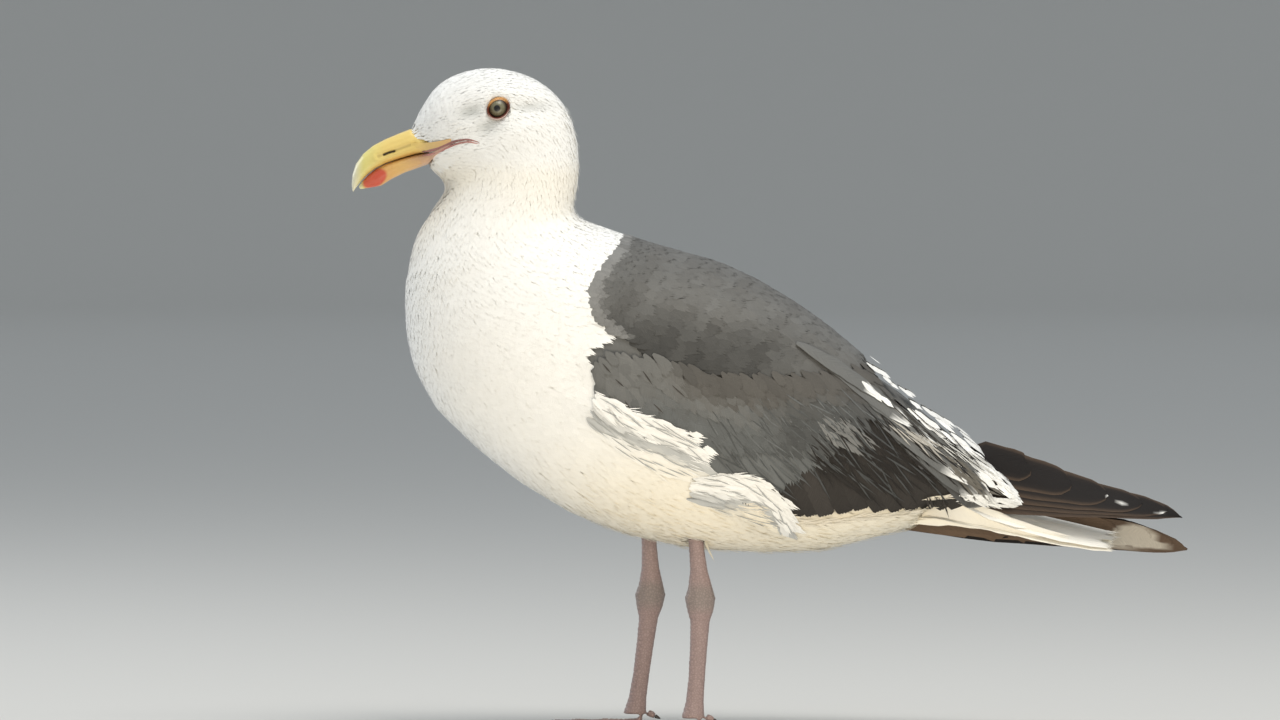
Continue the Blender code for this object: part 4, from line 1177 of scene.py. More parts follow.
TERTIALS = (                       # root, tip, width, layer, share of the mantle's grey
    ((62, 190), (150, 143), 11, -0.3, 0.1),
    ((58, 198), (150, 146), 20, -0.1, 0.4),
    ((52, 206), (144, 156), 22, 0.1, 0.75),
    ((44, 212), (130, 168), 20, 0.4, 1.0),
    ((36, 222), (108, 188), 16, 0.6, 1.1),
    ((26, 228), (92, 201), 13, 0.8, 1.1),
    ((14, 238), (73, 217), 12, 1.0, 1.1),
)
EDGE_AREAS = (                     # outline, gap, colour, lie, length, width, layer
    (((82, 203), (97, 195), (115, 183), (126, 175), (137, 168), (133, 163), (112, 176),
      (98, 184), (82, 194)), 4.2, WHITE, -37, 13, 4.6, 1.5),
    (((57, 229), (66, 224), (77, 215), (82, 206), (76, 207), (64, 217), (56, 223)),
     4.0, WHITE, -43, 9, 4.4, 2.0),
    (((122, 170), (140, 160), (150, 149), (148, 143), (138, 147), (130, 157), (118, 164)),
     3.0, WHITE, -34, 11, 4.2, 1.3),
    (((127, 165), (140, 158), (152, 148), (150, 141), (142, 146), (136, 154), (124, 161)),
     1.7, WHITE, -33, 10, 1.3, 1.6),
    (((112, 142), (146, 143), (152, 139), (112, 138)), 1.8, WHITE, -10, 11, 1.6, 1.2),
    (((104, 172), (122, 160), (132, 152), (124, 148), (104, 160)), 2.6, (0.15, 0.14, 0.12),
     -35, 14, 1.6, 1.3),
    (((90, 192), (130, 168), (126, 164), (88, 186)), 5.0, DARK_BROWN, -36, 18, 0.8, 2.3),
    (((72, 190), (94, 178), (92, 175), (70, 186)), 2.6, (0.42, 0.40, 0.36), -34, 16, 1.0, 2.0),
    (((98, 181), (128, 166), (126, 163), (97, 177)), 2.6, (0.6, 0.6, 0.57), -34, 14, 0.9, 2.0),
    (((60, 214), (80, 200), (92, 186), (70, 196)), 5.0, (0.06, 0.056, 0.05), -40, 20, 1.0, 1.8),
    # cream along the wing's lower edge: the belly's painted warm bounce light
    (((-20, 142), (20, 129), (66, 133.5), (108, 138), (108, 135.5), (66, 131), (20, 126),
      (-20, 138)), 1.5, (0.80, 0.74, 0.62), -1, 9, 0.8, 0.7),
    (((92, 146), (104, 146), (102, 138), (92, 138)), 2.2, DARK_BROWN, -62, 13, 0.9, 2.0),
)

BACK_LINE = ((40, 226), (57, 222), (77, 209), (97, 192), (115, 178), (135, 163), (150, 148))
BACK_FEATHERS = (                  # start and tip along x, share of the half width, half width
    (34, 88, 0.15, 9), (30, 84, 0.62, 9), (44, 104, 0.40, 9), (48, 118, 0.78, 9),
    (60, 126, 0.22, 8), (66, 140, 0.58, 8))


def back_feathers():
    """Inner tertials of the left wing, which close the back between the folded wings."""
    rows = 12
    rim = on_side(np.array(BACK_LINE, float) - (0, 2.5))[:, 1] / MM
    s = np.linspace(0, 1, rows)
    paths, normals, half = [], [], []
    for k, (start, tip, share, wide) in enumerate(BACK_FEATHERS):
        x = start + (tip - start) * s
        z, y = table_at(np.column_stack([BACK_LINE, rim]), x)
        paths.append(xyz(x, y * share * (1 - 0.2 * s), z - 2.6 - 0.25 * k))
        normals.append(np.tile((0.55, -0.35 * share, 0.8), (rows, 1)))
        half.append(wide * width_profile(rows, 0.5))
    tones = np.array([mix(SLATE, DARK_BROWN, 0.05 * k) for k in range(len(paths))])
    return quills(np.array(paths) * MM, np.array(normals), np.array(half) * MM, tones,
                  columns=9, sink=0.0, rise=0.4, slope=0.4, thick=0.4, camber=1.2,
                  fringe=0.04, tip_share=0.08, cell=(0, 3, 2))


coverts_left, quills_left = wing_coverts(), joined([wing_quills(), back_feathers()])
left_wing = (("covert", coverts_left, slate_vane, "slate_feathers"),
             ("flank", flank_plumes(), white_down, "white_feathers"),
             ("secondary", quills_left, dark_vane, "dark_feathers"))
for label, flip in (("left", dict), ("right", mirrored)):
    for part, feathers, material, slot in left_wing:
        replaced = ("wing_secondaries_" + label,) if part == "secondary" else ()
        coat_piece(f"{part}_feathers_{label}", flip(feathers), material, slot, *replaced)


# ---- primaries and tail
LEFT_WEDGE = (                     # x, upper y, upper z, lower y, lower z, as y to the left
    (104, 8, 166, 23, 146), (115.5, 7.5, 169.5, 23, 146), (131, 6, 175.6, 24.5, 137.5),
    (146, 6, 171.3, 25, 132.8), (166, 6, 163.8, 26, 131.6), (188, 7, 155.3, 26, 131),
    (208, 8, 148.9, 25, 130.6), (229, 9, 143, 22, 129.8), (243, 11, 137.6, 18.5, 129),
    (250.5, 13, 131.2, 15, 129))
RIGHT_WEDGE = (
    (66, 35, 136.6, 34.5, 122.5), (84, 34, 138, 34.5, 119.6), (104, 31.5, 138.6, 34.5, 117.6),
    (132, 27.5, 138, 33.5, 113.8), (166, 19, 136, 32, 111.2), (194, 16, 131, 30.5, 109.8),
    (219, 15.5, 127.6, 28, 108.3), (236, 15, 121.8, 25, 106.8), (249, 15, 116.8, 21.5, 105.4),
    (255.2, 15.5, 111.6, 18, 106.4))


def primary_set(wedge, side, start, tips, tone, layer_step, inner, **how):
    """Primaries that fill a wedge: their tips step down its upper edge, the shortest outermost."""
    s = np.concatenate([np.linspace(0, 0.86, 10), (0.90, 0.935, 0.962, 0.982, 1.0)])
    rows = len(s)
    paths, outs = np.empty((len(tips), rows, 3)), np.empty((len(tips), rows, 3))
    half = np.empty((len(tips), rows))
    for j, (tip, low) in enumerate(zip(tips, PRIMARY_LOWS)):
        x = start + (tip - start) * s
        uy, uz, ly, lz = table_at(wedge, x)
        high = 1.0 - 0.035 * j * ramp(-s, -1.0, -0.5)
        round_off = np.sqrt(np.clip(1 - (np.clip(s - 0.86, 0, 1) / 0.145) ** 2, 0.01, 1))
        middle = (high + low) / 2 + (high - low) * 0.12 * (1 - round_off)
        half[j] = np.hypot(uy - ly, uz - lz) * (high - low) / 2 * round_off
        half[j] *= np.interp(s, (0, 0.05, 0.12), (0.25, 0.7, 1))
        out = unit(xyz(0 * x, uz - lz, ly - uy))
        depth = layer_step * (len(tips) - 1 - j) * (-1 if inner else 1) + (-0.9 if inner else 0)
        paths[j] = xyz(x, ly + (uy - ly) * middle, lz + (uz - lz) * middle) + out * depth
        outs[j] = -out if inner else out
    paths[..., 1] *= side
    outs[..., 1] *= side
    colours = np.broadcast_to(np.asarray(tone, float), (len(tips), 3))
    colours = colours * draw.normal(1, 0.06, (len(tips), 1))
    return quills(paths * MM, outs, half * MM, colours, columns=9, sink=0.0, rise=0.0,
                  thick=0.5, camber=0.35, fringe=0.004, ragged=0.03, jitter_lift=0.02, **how)


def worn_tips(points, across, shade):
    """Paler worn edges, and small white nicks near the tips."""
    x, z = points[..., 0] / MM, points[..., 2] / MM
    worn = ramp(np.abs(across), 0.7, 1.0) * ramp(x, 115, 150) * 0.7
    shade = mix(shade, np.array(FAR_BROWN) * 0.8, worn)
    nick = np.zeros_like(x)
    for nx, nz, size in ((206, 143.5, 2.0), (213, 139.5, 2.4), (226, 142, 2.2), (238, 133, 2.6)):
        nick = np.maximum(nick, ramp(-np.hypot((x - nx) * 0.5, z - nz), -size * 0.5, -size * 0.2))
    return mix(shade, WHITE, nick * 0.9)


def mirror_patch(points, across, shade):
    """The pale window near the tip of the far wing's underside, and its pale shaft."""
    x, z = points[..., 0] / MM, points[..., 2] / MM
    window = ramp(-np.hypot((x - 222) / 15.5, (z - 112.5) / 12.5), -1.05, -0.95) * (z > 113.2)
    strip = ramp(x, 200, 208) * ramp(-x, -246, -240) * ramp(-np.abs(z - 111.2), -2.2, -1.6)
    pale = np.maximum(window, strip)
    shade = mix(shade, MIRROR_PALE, pale)
    base = ramp(-x, -170, -110) * 0.35
    return mix(shade, np.array(FAR_BROWN) * 1.5, base)


PRIMARY_LOWS = (0.52, 0.40, 0.28, 0.17, 0.08, 0.0)
LEFT_TIPS = (158, 183, 205, 226, 241.5, 250.5)
RIGHT_TIPS = (168, 190, 212, 233, 246, 255)
near = primary_set(LEFT_WEDGE, -1, 106, LEFT_TIPS, BLACK_BROWN, 0.35, False,
                   markings=worn_tips, cell=(0, 4, 2))
coat_piece("primary_feathers_left", near, dark_vane, "black_feathers", "wing_primaries_left")
far_out = primary_set(RIGHT_WEDGE, 1, 66, RIGHT_TIPS, BLACK_BROWN, 0.35, False, cell=(0, 4, 3))
far_in = primary_set(RIGHT_WEDGE, 1, 66, RIGHT_TIPS, FAR_BROWN, 0.3, True,
                     markings=mirror_patch, cell=(6, 4, 3))
coat_piece("primary_feathers_right", joined([far_out, far_in]), dark_vane, "black_feathers",
           "wing_primaries_right")

TAIL_FORM = (                      # x, middle height, drop at the sides, thickness, half width
    (103, 150.5, 2, 23, 26), (117, 144.5, 4, 16, 26), (133, 139, 6, 9.5, 25.5),
    (155, 133, 7.5, 6, 25), (181, 127, 8, 4, 25), (207, 121, 8, 2.6, 24.5))


def tail_feathers():
    """Twelve white tail feathers above and as many below, with their coverts, tinted with
    the cream of a painted warm bounce light.
    """
    sets = []
    rows = 13
    for upper in (True, False):
        for reach, count, width, layer, from_x in (
                (206.5, 12, 12.0, 0.0, 96), (160.0, 9, 13.0, 0.4, 90)):
            v = np.linspace(-1, 1, count)
            s = np.linspace(0, 1, rows)
            tips = reach - 4.5 * v * v + draw.normal(0, 2.0, count)
            x = from_x + (tips - from_x)[:, None] * s[None]
            middle, drop, thick, half = table_at(TAIL_FORM, x)
            y = half * v[:, None] * (0.80 + 0.10 * s[None])
            z = middle - drop * v[:, None] ** 2
            z = z - 0.2 if upper else z - thick * (1 - 0.25 * v[:, None] ** 2) + 0.2
            out = xyz(0, 2 * drop * v[:, None] / np.maximum(half, 1), 1) * (1 if upper else -1)
            profile = np.interp(s, (0, 0.3, 0.75, 0.93, 1), (0.75, 1.0, 0.95, 0.7, 0.38))
            # painted warm bounce light: creamier below than above
            tone = mix(WHITE, PAINTED_BOUNCE_CREAM, np.full(count, 0.35 if upper else 0.7))
            level = layer + 0.3 * (1 - np.abs(v)) * (1 if upper else -1) + (0 if upper else 0.3)
            sets.append(quills(
                xyz(x, y, z) * MM, out,
                np.broadcast_to(width / 2 * MM * profile, (count, rows)),
                tone * draw.normal(1, 0.015, (count, 1)), columns=11, sink=0.2, rise=0.1,
                thick=0.4, camber=0.3, fringe=0.03, layer=level, ragged=0.10, roll=0.15))
    for side in (-1, 1):
        for share, reach in ((0.12, 176), (0.5, 168), (0.88, 160)):
            x = np.linspace(84, reach, rows)[None]
            middle, drop, thick, half = table_at(TAIL_FORM, x)
            out_share = np.interp(s, (0, 0.28, 1), (0.62, 0.93, 0.93))
            paths = xyz(x, side * half * out_share, middle - drop - 0.75 * thick * share) * MM
            out = np.broadcast_to((0.0, side, 0.05), paths.shape)
            wide = 0.3 * thick * np.interp(s, (0, 0.7, 1), (1, 1, 0.3)) + 0.8
            # cream of the painted warm bounce light
            sets.append(quills(paths, out, wide * MM, np.array([mix(WHITE, PAINTED_BOUNCE_CREAM, 0.6)]),
                               columns=9, sink=0.2, rise=0.3, thick=0.4, camber=0.4,
                               fringe=0.08, layer=0.5 - 0.4 * share, ragged=0.15))
    return joined(sets)


coat_piece("tail_feathers", tail_feathers(), white_down, "white_feathers", "tail")

# ---- bill, eyes, legs
def line_distance(points, line):
    """Distance (mm) of points from a curve in the side view."""
    flat = points[:, ::2] / MM
    curve = smooth_line(line, 60 if line is MOUTH else 40)
    return np.linalg.norm(flat[:, None] - curve[None], axis=2).min(1)


NOSTRIL = ((-235.6, 351.0), (-232.6, 352.3), (-229.2, 353.2))
NOSTRIL_GROOVE = ((-239, 350), (-232, 352.2), (-224, 355.2), (-216.5, 358.0))
MOUTH = ((-250, 335.5), (-247.8, 337.9), (-237.3, 343.9), (-222.7, 348.5), (-206.9, 352.6),
         (-197.6, 356.3), (-189.7, 359.4), (-183, 359.6), (-177.1, 357.6))
BILL_YELLOW = (0.80, 0.60, 0.19)
BILL_GREEN = (0.76, 0.69, 0.24)
BILL_TIP = (0.80, 0.77, 0.58)
BILL_ORANGE = (0.72, 0.41, 0.14)
BILL_PINK = (0.50, 0.29, 0.20)
SPOT_RED = (0.62, 0.085, 0.05)
GAPE_RED = (0.29, 0.135, 0.12)
# painted shade inside the nostril's slit
NOSTRIL_SHADOW = (0.02, 0.012, 0.01)


def bill():
    """Both halves of the bill, with nostril, grooves and painted horn, and painted shade
    in the nostril and its groove.
    """
    points, faces = merged(("bill_upper",), 0.00045, 5)
    normals = Surface(points, faces).normals
    x, z = points[:, 0] / MM, points[:, 2] / MM
    slit, groove, mouth = (line_distance(points, line) for line in
                           (NOSTRIL, NOSTRIL_GROOVE, MOUTH))
    flank = np.abs(normals[:, 1]) > 0.35
    dent = (1.1 * np.exp(-(slit / 0.75) ** 2) + 0.45 * np.exp(-(groove / 1.3) ** 2)
            - 0.22 * np.exp(-((groove - 2.6) / 1.2) ** 2)) * flank
    points = points - normals * (dent * MM)[:, None]
    colour = mix(BILL_TIP, BILL_GREEN, ramp(x, -255, -247))
    colour = mix(colour, BILL_YELLOW, ramp(x, -250, -232))
    colour = mix(colour, BILL_ORANGE, 0.5 * ramp(-mouth, -4, -1.5) * ramp(x, -240, -225))
    colour = mix(colour, BILL_PINK, 0.8 * ramp(-mouth, -3.2, -0.8) * ramp(x, -214, -202))
    # painted shade in the groove before the nostril
    colour = mix(colour, np.array(BILL_YELLOW) * 0.62, 0.6 * ramp(-groove, -1.2, -0.3) * flank)
    colour = mix(colour, GAPE_RED, ramp(-mouth, -1.4, -0.4) * ramp(x, -206, -199))
    # painted shade inside the nostril's slit
    colour = mix(colour, NOSTRIL_SHADOW, ramp(-slit, -1.05, -0.3) * flank)
    piece("bill_above", points, faces, colour, bill_horn, "bill", "bill_upper", sharp=75)

    points, faces = merged(("bill_lower",), 0.0006, 4)
    x, z = points[:, 0] / MM, points[:, 2] / MM
    mouth = line_distance(points, MOUTH)
    points = points + xyz(0, 0, 0.55 * ramp(-mouth, -3.0, -0.6)) * MM
    colour = mix(BILL_TIP, BILL_GREEN, ramp(x, -252, -247))
    colour = mix(colour, BILL_ORANGE, ramp(x, -249, -238))
    colour = mix(colour, BILL_YELLOW, 0.35 * ramp(x, -236, -222) * ramp(-x, 204, 214))
    colour = mix(colour, BILL_PINK, ramp(x, -230, -208) * (0.55 + 0.4 * ramp(-mouth, -4, -1)))
    spot_x = x + 241.2
    spot = np.hypot(spot_x / 7.6, (z - 336.2 - 0.35 * spot_x) / 5.6)
    colour = mix(colour, SPOT_RED, 0.95 * ramp(-spot, -1.12, -0.82))
    colour = mix(colour, GAPE_RED, ramp(-mouth, -1.6, -0.5) * ramp(x, -208, -200))
    piece("bill_below", points, faces, colour, bill_horn, "bill", "bill_lower", sharp=75)


bill()


face_tree = raw_tree("head", "bill_upper", "bill_lower")
BASE_AREAS = (                     # outline and lie of the short feathers at the bill's base
    (((-219.5, 367), (-218.5, 361), (-210.5, 360), (-202.5, 361), (-195, 362.6),
      (-191, 368), (-204, 374)), 8),
    (((-210, 343), (-205, 346.5), (-202, 350.5), (-194, 355.8), (-192, 350), (-207, 338)), -28))


def base_feathers():
    """Short feathers that run onto the bill's base, as on the living bird."""
    face = Surface(*merged(("head", "bill_upper", "bill_lower"), 0.0012, 2))
    sets = []
    for area, angle in BASE_AREAS:
        places = sown(area, 0.85, 2500)
        hits = [face.tree.ray_cast(p, (0, 1, 0))[0]
                for p in (xyz(places[:, 0], -60.0, places[:, 1]) * MM).tolist()]
        roots = np.array([tuple(h) for h in hits if h is not None])
        heads = leaning(angle + draw.normal(0, 8, len(roots)))
        sets.append(lay_vanes(face, roots, heads, 4.2 * MM, 1.3 * MM,
                              np.broadcast_to(WHITE, roots.shape), rows=4, columns=3,
                              sink=0.25, rise=0.35, slope=0.12, thick=0.10, camber=0.05,
                              fringe=0.10, tip=0.3, soft=True))
    made = joined(sets)
    coat_piece("base_feathers", joined([made, mirrored(made)]), white_down, "white_feathers")


base_feathers()


def face_width(places):
    """How far from the middle plane the face's left side lies at side-view places (mm)."""
    hits = [face_tree.ray_cast((x * MM, -0.2, z * MM), (0, 1, 0))[0] for x, z in places]
    return np.array([-hit.y / MM if hit is not None else 0.0 for hit in hits])


def ring_faces(rings, sides, closed=False):
    """Triangles of rings of points joined one to the next, with closed ends or as a loop."""
    faces = []
    for r in range(rings if closed else rings - 1):
        a, b = r * sides, (r + 1) % rings * sides
        for k in range(sides):
            n = (k + 1) % sides
            faces += [(a + k, b + k, b + n), (a + k, b + n, a + n)]
    if not closed:
        for k in range(1, sides - 1):
            faces.append((0, k, k + 1))
            end = (rings - 1) * sides
            faces.append((end, end + k + 1, end + k))
    return np.array(faces)


def both_sides(name, points, faces, colour, material, slot, replaced=None):
    """A closed piece (mm) on the left and, mirrored, on the right, with its faces outwards."""
    a, b, c = (points[faces[:, k]] - points.mean(0) for k in range(3))
    if (np.cross(a, b) * c).sum() < 0:
        faces = faces[:, ::-1]
    for label, sign in (("left", 1), ("right", -1)):
        nodes = (f"{replaced}_{label}",) if replaced else ()
        piece(f"{name}_{label}", points * np.array((1, sign, 1)) * MM, faces[:, ::sign], colour,
              material, slot, *nodes, sharp=60)


def gape_lip(line, radius, name, tone):
    """A lip of bare skin that runs from the bill back along the mouth."""
    rings, sides = 44, 10
    path = smooth_line(line, rings)
    y = smoothed(face_width(path), 3)
    middle = xyz(path[:, 0], -y + 0.15, path[:, 1])
    ahead = unit(np.gradient(middle, axis=0))
    out = unit(np.cross(ahead, (0, 0, 1)))
    up = np.cross(out, ahead)
    s = np.linspace(0, 1, rings)
    size = (radius * np.interp(s, *LIP_TAPER))[:, None, None]
    turn = np.linspace(0, 2 * math.pi, sides, endpoint=False)
    points = (middle[:, None] + size * (np.cos(turn)[None, :, None] * up[:, None]
                                        + 0.75 * np.sin(turn)[None, :, None] * out[:, None]))
    colour = mix(tone, np.array(tone) * 1.5, 0.5 + 0.5 * np.sin(9 * s))
    both_sides(name, points.reshape(-1, 3), ring_faces(rings, sides),
               np.repeat(colour, sides, axis=0), lid_skin, "bill")


LIP_TAPER = ((0, 0.12, 0.4, 0.75, 1), (0.5, 1.25, 1.1, 0.7, 0.15))
LIP_UPPER = ((-212, 352.8), (-205, 354.2), (-197.6, 356.9), (-191, 359.4), (-184.5, 360.3),
             (-179, 359.2), (-175.8, 357.4))
LIP_LOWER = ((-212, 350.4), (-205, 351.8), (-197.6, 354.9), (-191, 357.6), (-184.5, 358.9),
             (-179.5, 358.2), (-176, 356.9))
gape_lip(LIP_UPPER, 0.75, "gape_upper", GAPE_RED)
gape_lip(LIP_LOWER, 0.7, "gape_lower", np.array(GAPE_RED) * 1.5)


def horn_edge(name, upper, lower, tone, far_tone):
    """Bare horn that runs back from the bill over the side of the face."""
    rings, across = 26, 9
    top, foot = smooth_line(upper, rings), smooth_line(lower, rings)
    t = np.linspace(0, 1, across)[None, :, None]
    place = foot[:, None] * (1 - t) + top[:, None] * t
    y = face_width(place.reshape(-1, 2)).reshape(rings, across)
    y = np.array([smoothed(row, 2) for row in y.T]).T
    proud = 0.45 * np.sqrt(np.sin(math.pi * np.linspace(0.06, 0.94, across)))[None]
    ends = np.interp(np.linspace(0, 1, rings), (0, 0.18, 0.75, 1), (-0.9, 1, 1, 0.2))
    front = xyz(place[..., 0], -(y + proud * ends[:, None]), place[..., 1])
    back = xyz(place[..., 0], -(y - 1.2), place[..., 1])[:, ::-1]
    points = np.concatenate([front, back], 1).reshape(-1, 3)
    share = np.repeat(np.linspace(0, 1, rings), 2 * across)
    both_sides(name, points, ring_faces(rings, 2 * across), mix(tone, far_tone, share),
               bill_horn, "bill")


horn_edge("bill_side", ((-219, 358.3), (-210.8, 358.2), (-202.9, 359.2), (-194.3, 361.0)),
          ((-219, 350.5), (-211, 352.4), (-202.9, 354.9), (-194.3, 358.8)),
          BILL_YELLOW, (0.70, 0.44, 0.22))
horn_edge("chin_side", ((-215, 350.3), (-208, 351.5), (-202.9, 353.9), (-194.3, 357.8)),
          ((-215, 343.5), (-208, 346.2), (-203.4, 350.9), (-194.3, 356.6)),
          (0.62, 0.38, 0.20), (0.55, 0.36, 0.30))


IRIS = ((0.115, 0.105, 0.060), (0.22, 0.205, 0.125), (0.05, 0.043, 0.025),
        (0.07, 0.062, 0.036))      # dark and light specks, outer ring, ring round the pupil
PUPIL, EYE_RIM = (0.004, 0.004, 0.004), (0.03, 0.018, 0.012)


def eyeball():
    """A ball with pupil, speckled iris and a dark rim, facing outwards and a little ahead."""
    rings, sides = 56, 72
    axis = unit(np.array((-0.10, -1.0, 0.02)))
    across = unit(np.cross(axis, (0, 0, 1)))
    up = np.cross(across, axis)
    tilt = np.concatenate([np.linspace(0.01, 0.95, 38), np.linspace(1.0, 3.10, 18)])
    turn = np.linspace(0, 2 * math.pi, sides, endpoint=False)
    t, a = np.meshgrid(tilt, turn, indexing="ij")
    away = EYE_BALL * np.sin(t)
    bulge = 0.35 * ramp(-away, -4.9, -2.5) * (t < 1.5)
    radius = EYE_BALL + bulge
    points = radius[..., None] * (np.cos(t)[..., None] * axis + np.sin(t)[..., None] * (
        np.cos(a)[..., None] * across + np.sin(a)[..., None] * up))
    points = points + EYE_AT * (1, -1, 1) / MM
    speck = draw.normal(0, 1, t.shape)
    spokes = np.sin(a * 23 + 1.7 * np.sin(a * 7)) * 0.5 + np.sin(a * 41) * 0.3
    iris = mix(IRIS[0], IRIS[1], np.clip(0.5 + 0.35 * spokes + 0.25 * speck, 0, 1))
    iris = mix(iris, IRIS[2], 0.8 * ramp(away, 3.9, 4.9))
    iris = mix(iris, IRIS[3], 0.5 * ramp(-away, -2.5, -1.8))
    colour = mix(iris, PUPIL, ramp(-away, -1.95, -1.65) * (t < 1.5))
    colour = mix(colour, EYE_RIM, np.maximum(ramp(away, 4.95, 5.2), t > 1.5))
    both_sides("eyeball", points.reshape(-1, 3), ring_faces(rings, sides),
               colour.reshape(-1, 3), eye_wet, "eye", "eye")


eyeball()


RING_ROWS = (                      # half width, half height, share of the ball's form, proud
    (7.15, 7.0, 0.0, -0.5), (6.7, 6.5, 0.0, 0.2), (6.3, 6.0, 0.35, 0.52), (5.95, 5.5, 0.75, 0.55),
    (5.7, 5.1, 1.0, 0.34), (5.55, 4.9, 1.0, -0.35), (6.4, 6.2, 0.5, -2.2))
RING_RED, RING_ORANGE = (0.20, 0.05, 0.028), (0.66, 0.33, 0.10)
RING_PINK, RING_DARK = (0.72, 0.56, 0.50), (0.05, 0.02, 0.015)


def eye_ring():
    """Swollen bare ring round the eye, with the lids' dark inner edge."""
    sides = 72
    turn = np.linspace(0, 2 * math.pi, sides, endpoint=False)
    lean = math.radians(12)
    eye_x, eye_y, eye_z = EYE_AT / MM
    points, colour = [], []
    for k, (wide, high, ball_share, proud) in enumerate(RING_ROWS):
        dx, dz = wide * np.cos(turn), high * np.sin(turn)
        x = eye_x + dx * math.cos(lean) - dz * math.sin(lean) * 0.4
        z = eye_z + dz * math.cos(lean) + dx * math.sin(lean)
        outside = np.stack([eye_x + (x - eye_x) * 7.9 / wide, eye_z + (z - eye_z) * 7.7 / high], 1)
        skin_y = smoothed(face_width(outside), 6, "wrap")
        away = np.hypot(x - eye_x, z - eye_z)
        ball_y = eye_y + np.sqrt(np.maximum(EYE_BALL ** 2 - away ** 2, 0))
        points.append(xyz(x, -(skin_y * (1 - ball_share) + ball_y * ball_share + proud), z))
        tone = mix(RING_RED, RING_ORANGE, ramp(np.sin(turn), 0.15, 0.75))
        if k <= 1:
            tone = mix(tone, RING_PINK, ramp(-np.sin(turn), 0.2, 0.7))
        if k >= 4:
            tone = mix(tone, RING_DARK, np.full(sides, 0.85))
        colour.append(tone * (1 + 0.12 * np.sin(turn * 29 + k))[:, None])
    points, colour = (np.stack(rows, 1).reshape(-1, 3) for rows in (points, colour))
    both_sides("eye_ring", points, ring_faces(sides, len(RING_ROWS), closed=True), colour,
               lid_skin, "eye")


eye_ring()

LEGS = {"left": (-1, -46.5), "right": (1, -82.0)}     # side, x of the toes' root
LEG_PINK = (0.355, 0.258, 0.245)
LEG_GREY = (0.265, 0.228, 0.21)
FOOT_PINK = (0.40, 0.28, 0.25)
HEEL_HEIGHT = 81.5


CLAW_BROWN = (0.045, 0.034, 0.028)


def plates(place, size):
    """Rows of plates with the given size: 1 on each plate, 0 in the seams."""
    return np.abs(np.sin(math.pi * place / size)) ** 0.6


def leg(label):
    """Bare shank, heel, tarsus and webbed foot with plated scales, and its claws."""
    side, foot_x = LEGS[label]
    names = [f"{part}_{label}" for part in ("shank", "tarsus", "foot", "hallux")]
    points, faces = merged(names, 0.0008, 4, one=False)
    normals = Surface(points, faces).normals
    x, y, z = (points / MM).T
    y = y - side * 21.0
    front = ramp(-normals[:, 0], 0.15, 0.6) * (z > 10)
    back = ramp(normals[:, 0], 0.3, 0.7) * (z > 10)
    on_top = ramp(normals[:, 2], 0.3, 0.8) * ramp(-z, -11, -9)
    toe = ramp(z, 2.6, 3.6)
    shin = plates(z + 0.6 * normals[:, 1], 3.1)
    toe_plate = plates(np.hypot(x - foot_x, y), 2.3)
    fold = np.sin(np.arctan2(y, foot_x - x) * 60)
    step = ((shin - 0.7) * 0.28 * front + (plates(z, 1.8) - 0.7) * 0.14 * back
            + (toe_plate - 0.7) * 0.24 * on_top * toe + 0.06 * fold * on_top * (1 - toe))
    points = points + normals * (step * MM)[:, None]
    points[:, 2] = np.maximum(points[:, 2], 0.0)
    tone = mix(LEG_PINK, LEG_GREY, 0.75 * ramp(-np.abs(z - HEEL_HEIGHT), -12, -3))
    tone = mix(tone, FOOT_PINK, ramp(-z, -12, -5))
    tone = mix(tone, np.array(LEG_GREY) * 0.8, 0.35 * (1 - shin) * front)
    tone = mix(tone, np.array(LEG_GREY) * 0.8, 0.5 * (1 - toe_plate) * on_top * toe)
    tone = mix(tone, np.array(FOOT_PINK) * 0.8, (1 - toe) * on_top * 0.6)
    piece("leg_" + label, points, faces, tone, leg_skin, "leg_skin", *names, sharp=80)
    names = [f"claw_{toe}_{label}" for toe in ("hind", "inner", "middle", "outer")]
    points, faces = merged(names, 0.0003, 3, one=False)
    piece("claws_" + label, points, faces, np.broadcast_to(CLAW_BROWN, points.shape), claw_horn,
          "claw", *names, sharp=80)


for which in LEGS:
    leg(which)

# ---- floor, light, camera
BACKDROP_TONE = (0.60, 0.595, 0.57, 1)
FLOOR_REACH, SWEEP, WALL_TOP = 10.5, 1.85, 3.2      # metres
LAMPS = (                          # name, place, size, watts, colour
    ("key", (0.30, -0.55, 2.45), 1.3, 41, (1.0, 0.97, 0.92)),
    ("rim", (-2.6, 1.0, 1.2), 1.2, 26, (0.95, 0.97, 1.0)),
    ("warm_bounce", (0.0, -0.42, 0.02), 0.5, 2.6, (1.0, 0.87, 0.68)))
LAMP_AIM = Vector((-0.05, 0, 0.18))
SKY, SKY_STRENGTH = (0.88, 0.94, 1.0, 1), 0.52
CAMERA_AIM, CAMERA_REACH, CAMERA_RISE = Vector((-0.0795, 0, 0.2257)), 6, math.radians(1.7)


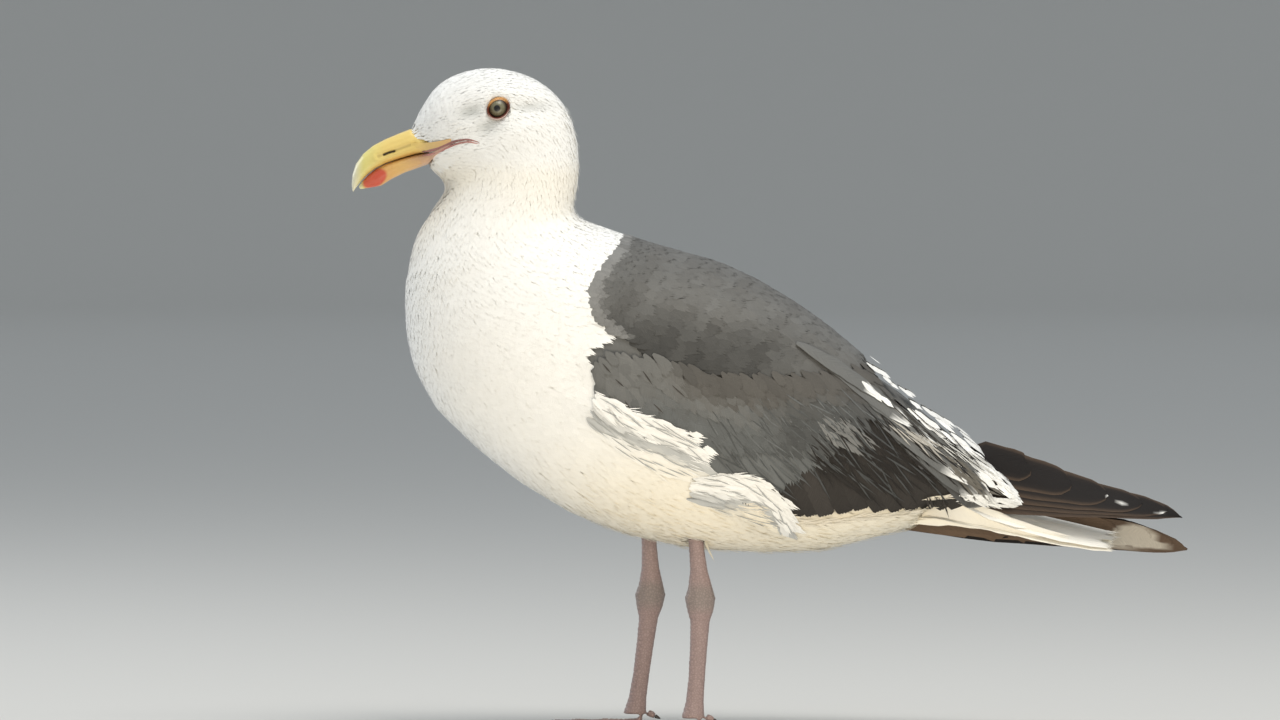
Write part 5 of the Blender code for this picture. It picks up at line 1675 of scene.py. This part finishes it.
def backdrop():
    """A wide floor that sweeps up all round, beyond every view of the bird."""
    sides = 96
    bend = np.linspace(0, math.pi / 2, 13)
    reach = np.concatenate([(0.5, 2.0, 5.0), FLOOR_REACH + SWEEP * np.sin(bend),
                            (FLOOR_REACH + SWEEP,)])[:, None]
    rise = np.concatenate([(0.0, 0.0, 0.0), SWEEP * (1 - np.cos(bend)), (WALL_TOP,)])[:, None]
    turn = np.linspace(0, 2 * math.pi, sides, endpoint=False)
    points = xyz(reach * np.cos(turn), reach * np.sin(turn), rise).reshape(-1, 3)
    faces = ring_faces(len(reach), sides)
    faces = faces[points[faces][:, :, 2].min(1) < WALL_TOP]
    mesh = mesh_from("backdrop", points, faces, 180)
    made = bpy.data.materials.new("pale backdrop")
    made.use_nodes = True
    shader = made.node_tree.nodes["Principled BSDF"]
    shader.inputs["Base Color"].default_value = BACKDROP_TONE
    shader.inputs["Roughness"].default_value = 0.9
    mesh.materials.append(made)
    ground = bpy.data.objects.new("backdrop", mesh)
    bpy.context.scene.collection.objects.link(ground)


def light():
    """A soft sky, a key and a rim lamp, and a bounce from below that leaves out the floor."""
    world = bpy.data.worlds.new("studio")
    bpy.context.scene.world = world
    world.use_nodes = True
    sky = world.node_tree.nodes["Background"]
    sky.inputs["Color"].default_value = SKY
    sky.inputs["Strength"].default_value = SKY_STRENGTH
    model = bpy.data.collections.new("lit_from_below")
    for made in bpy.context.scene.objects:
        if made.type == "MESH" and made.name != "backdrop":
            model.objects.link(made)
    for name, place, size, power, colour in LAMPS:
        source = bpy.data.lights.new(name, "AREA")
        source.energy, source.size, source.color = power, size, colour
        lamp = bpy.data.objects.new(name, source)
        lamp.location = place
        lamp.visible_camera = False
        if name == "warm_bounce":
            lamp.light_linking.receiver_collection = model
        lamp.rotation_euler = (LAMP_AIM - Vector(place)).to_track_quat("-Z", "Y").to_euler()
        bpy.context.scene.collection.objects.link(lamp)
    bpy.context.scene.view_settings.view_transform = "Standard"


def camera():
    """The long lens at the bird's left side, a little above it."""
    lens = bpy.data.cameras.new("camera")
    lens.sensor_width, lens.lens, lens.clip_end = 36, 276.6, 100
    made = bpy.data.objects.new("camera", lens)
    back = Vector((0, -math.cos(CAMERA_RISE), math.sin(CAMERA_RISE)))
    made.location = CAMERA_AIM + CAMERA_REACH * back
    made.rotation_euler = (CAMERA_AIM - made.location).to_track_quat("-Z", "Y").to_euler()
    bpy.context.scene.collection.objects.link(made)
    bpy.context.scene.camera = made


backdrop()
light()
camera()
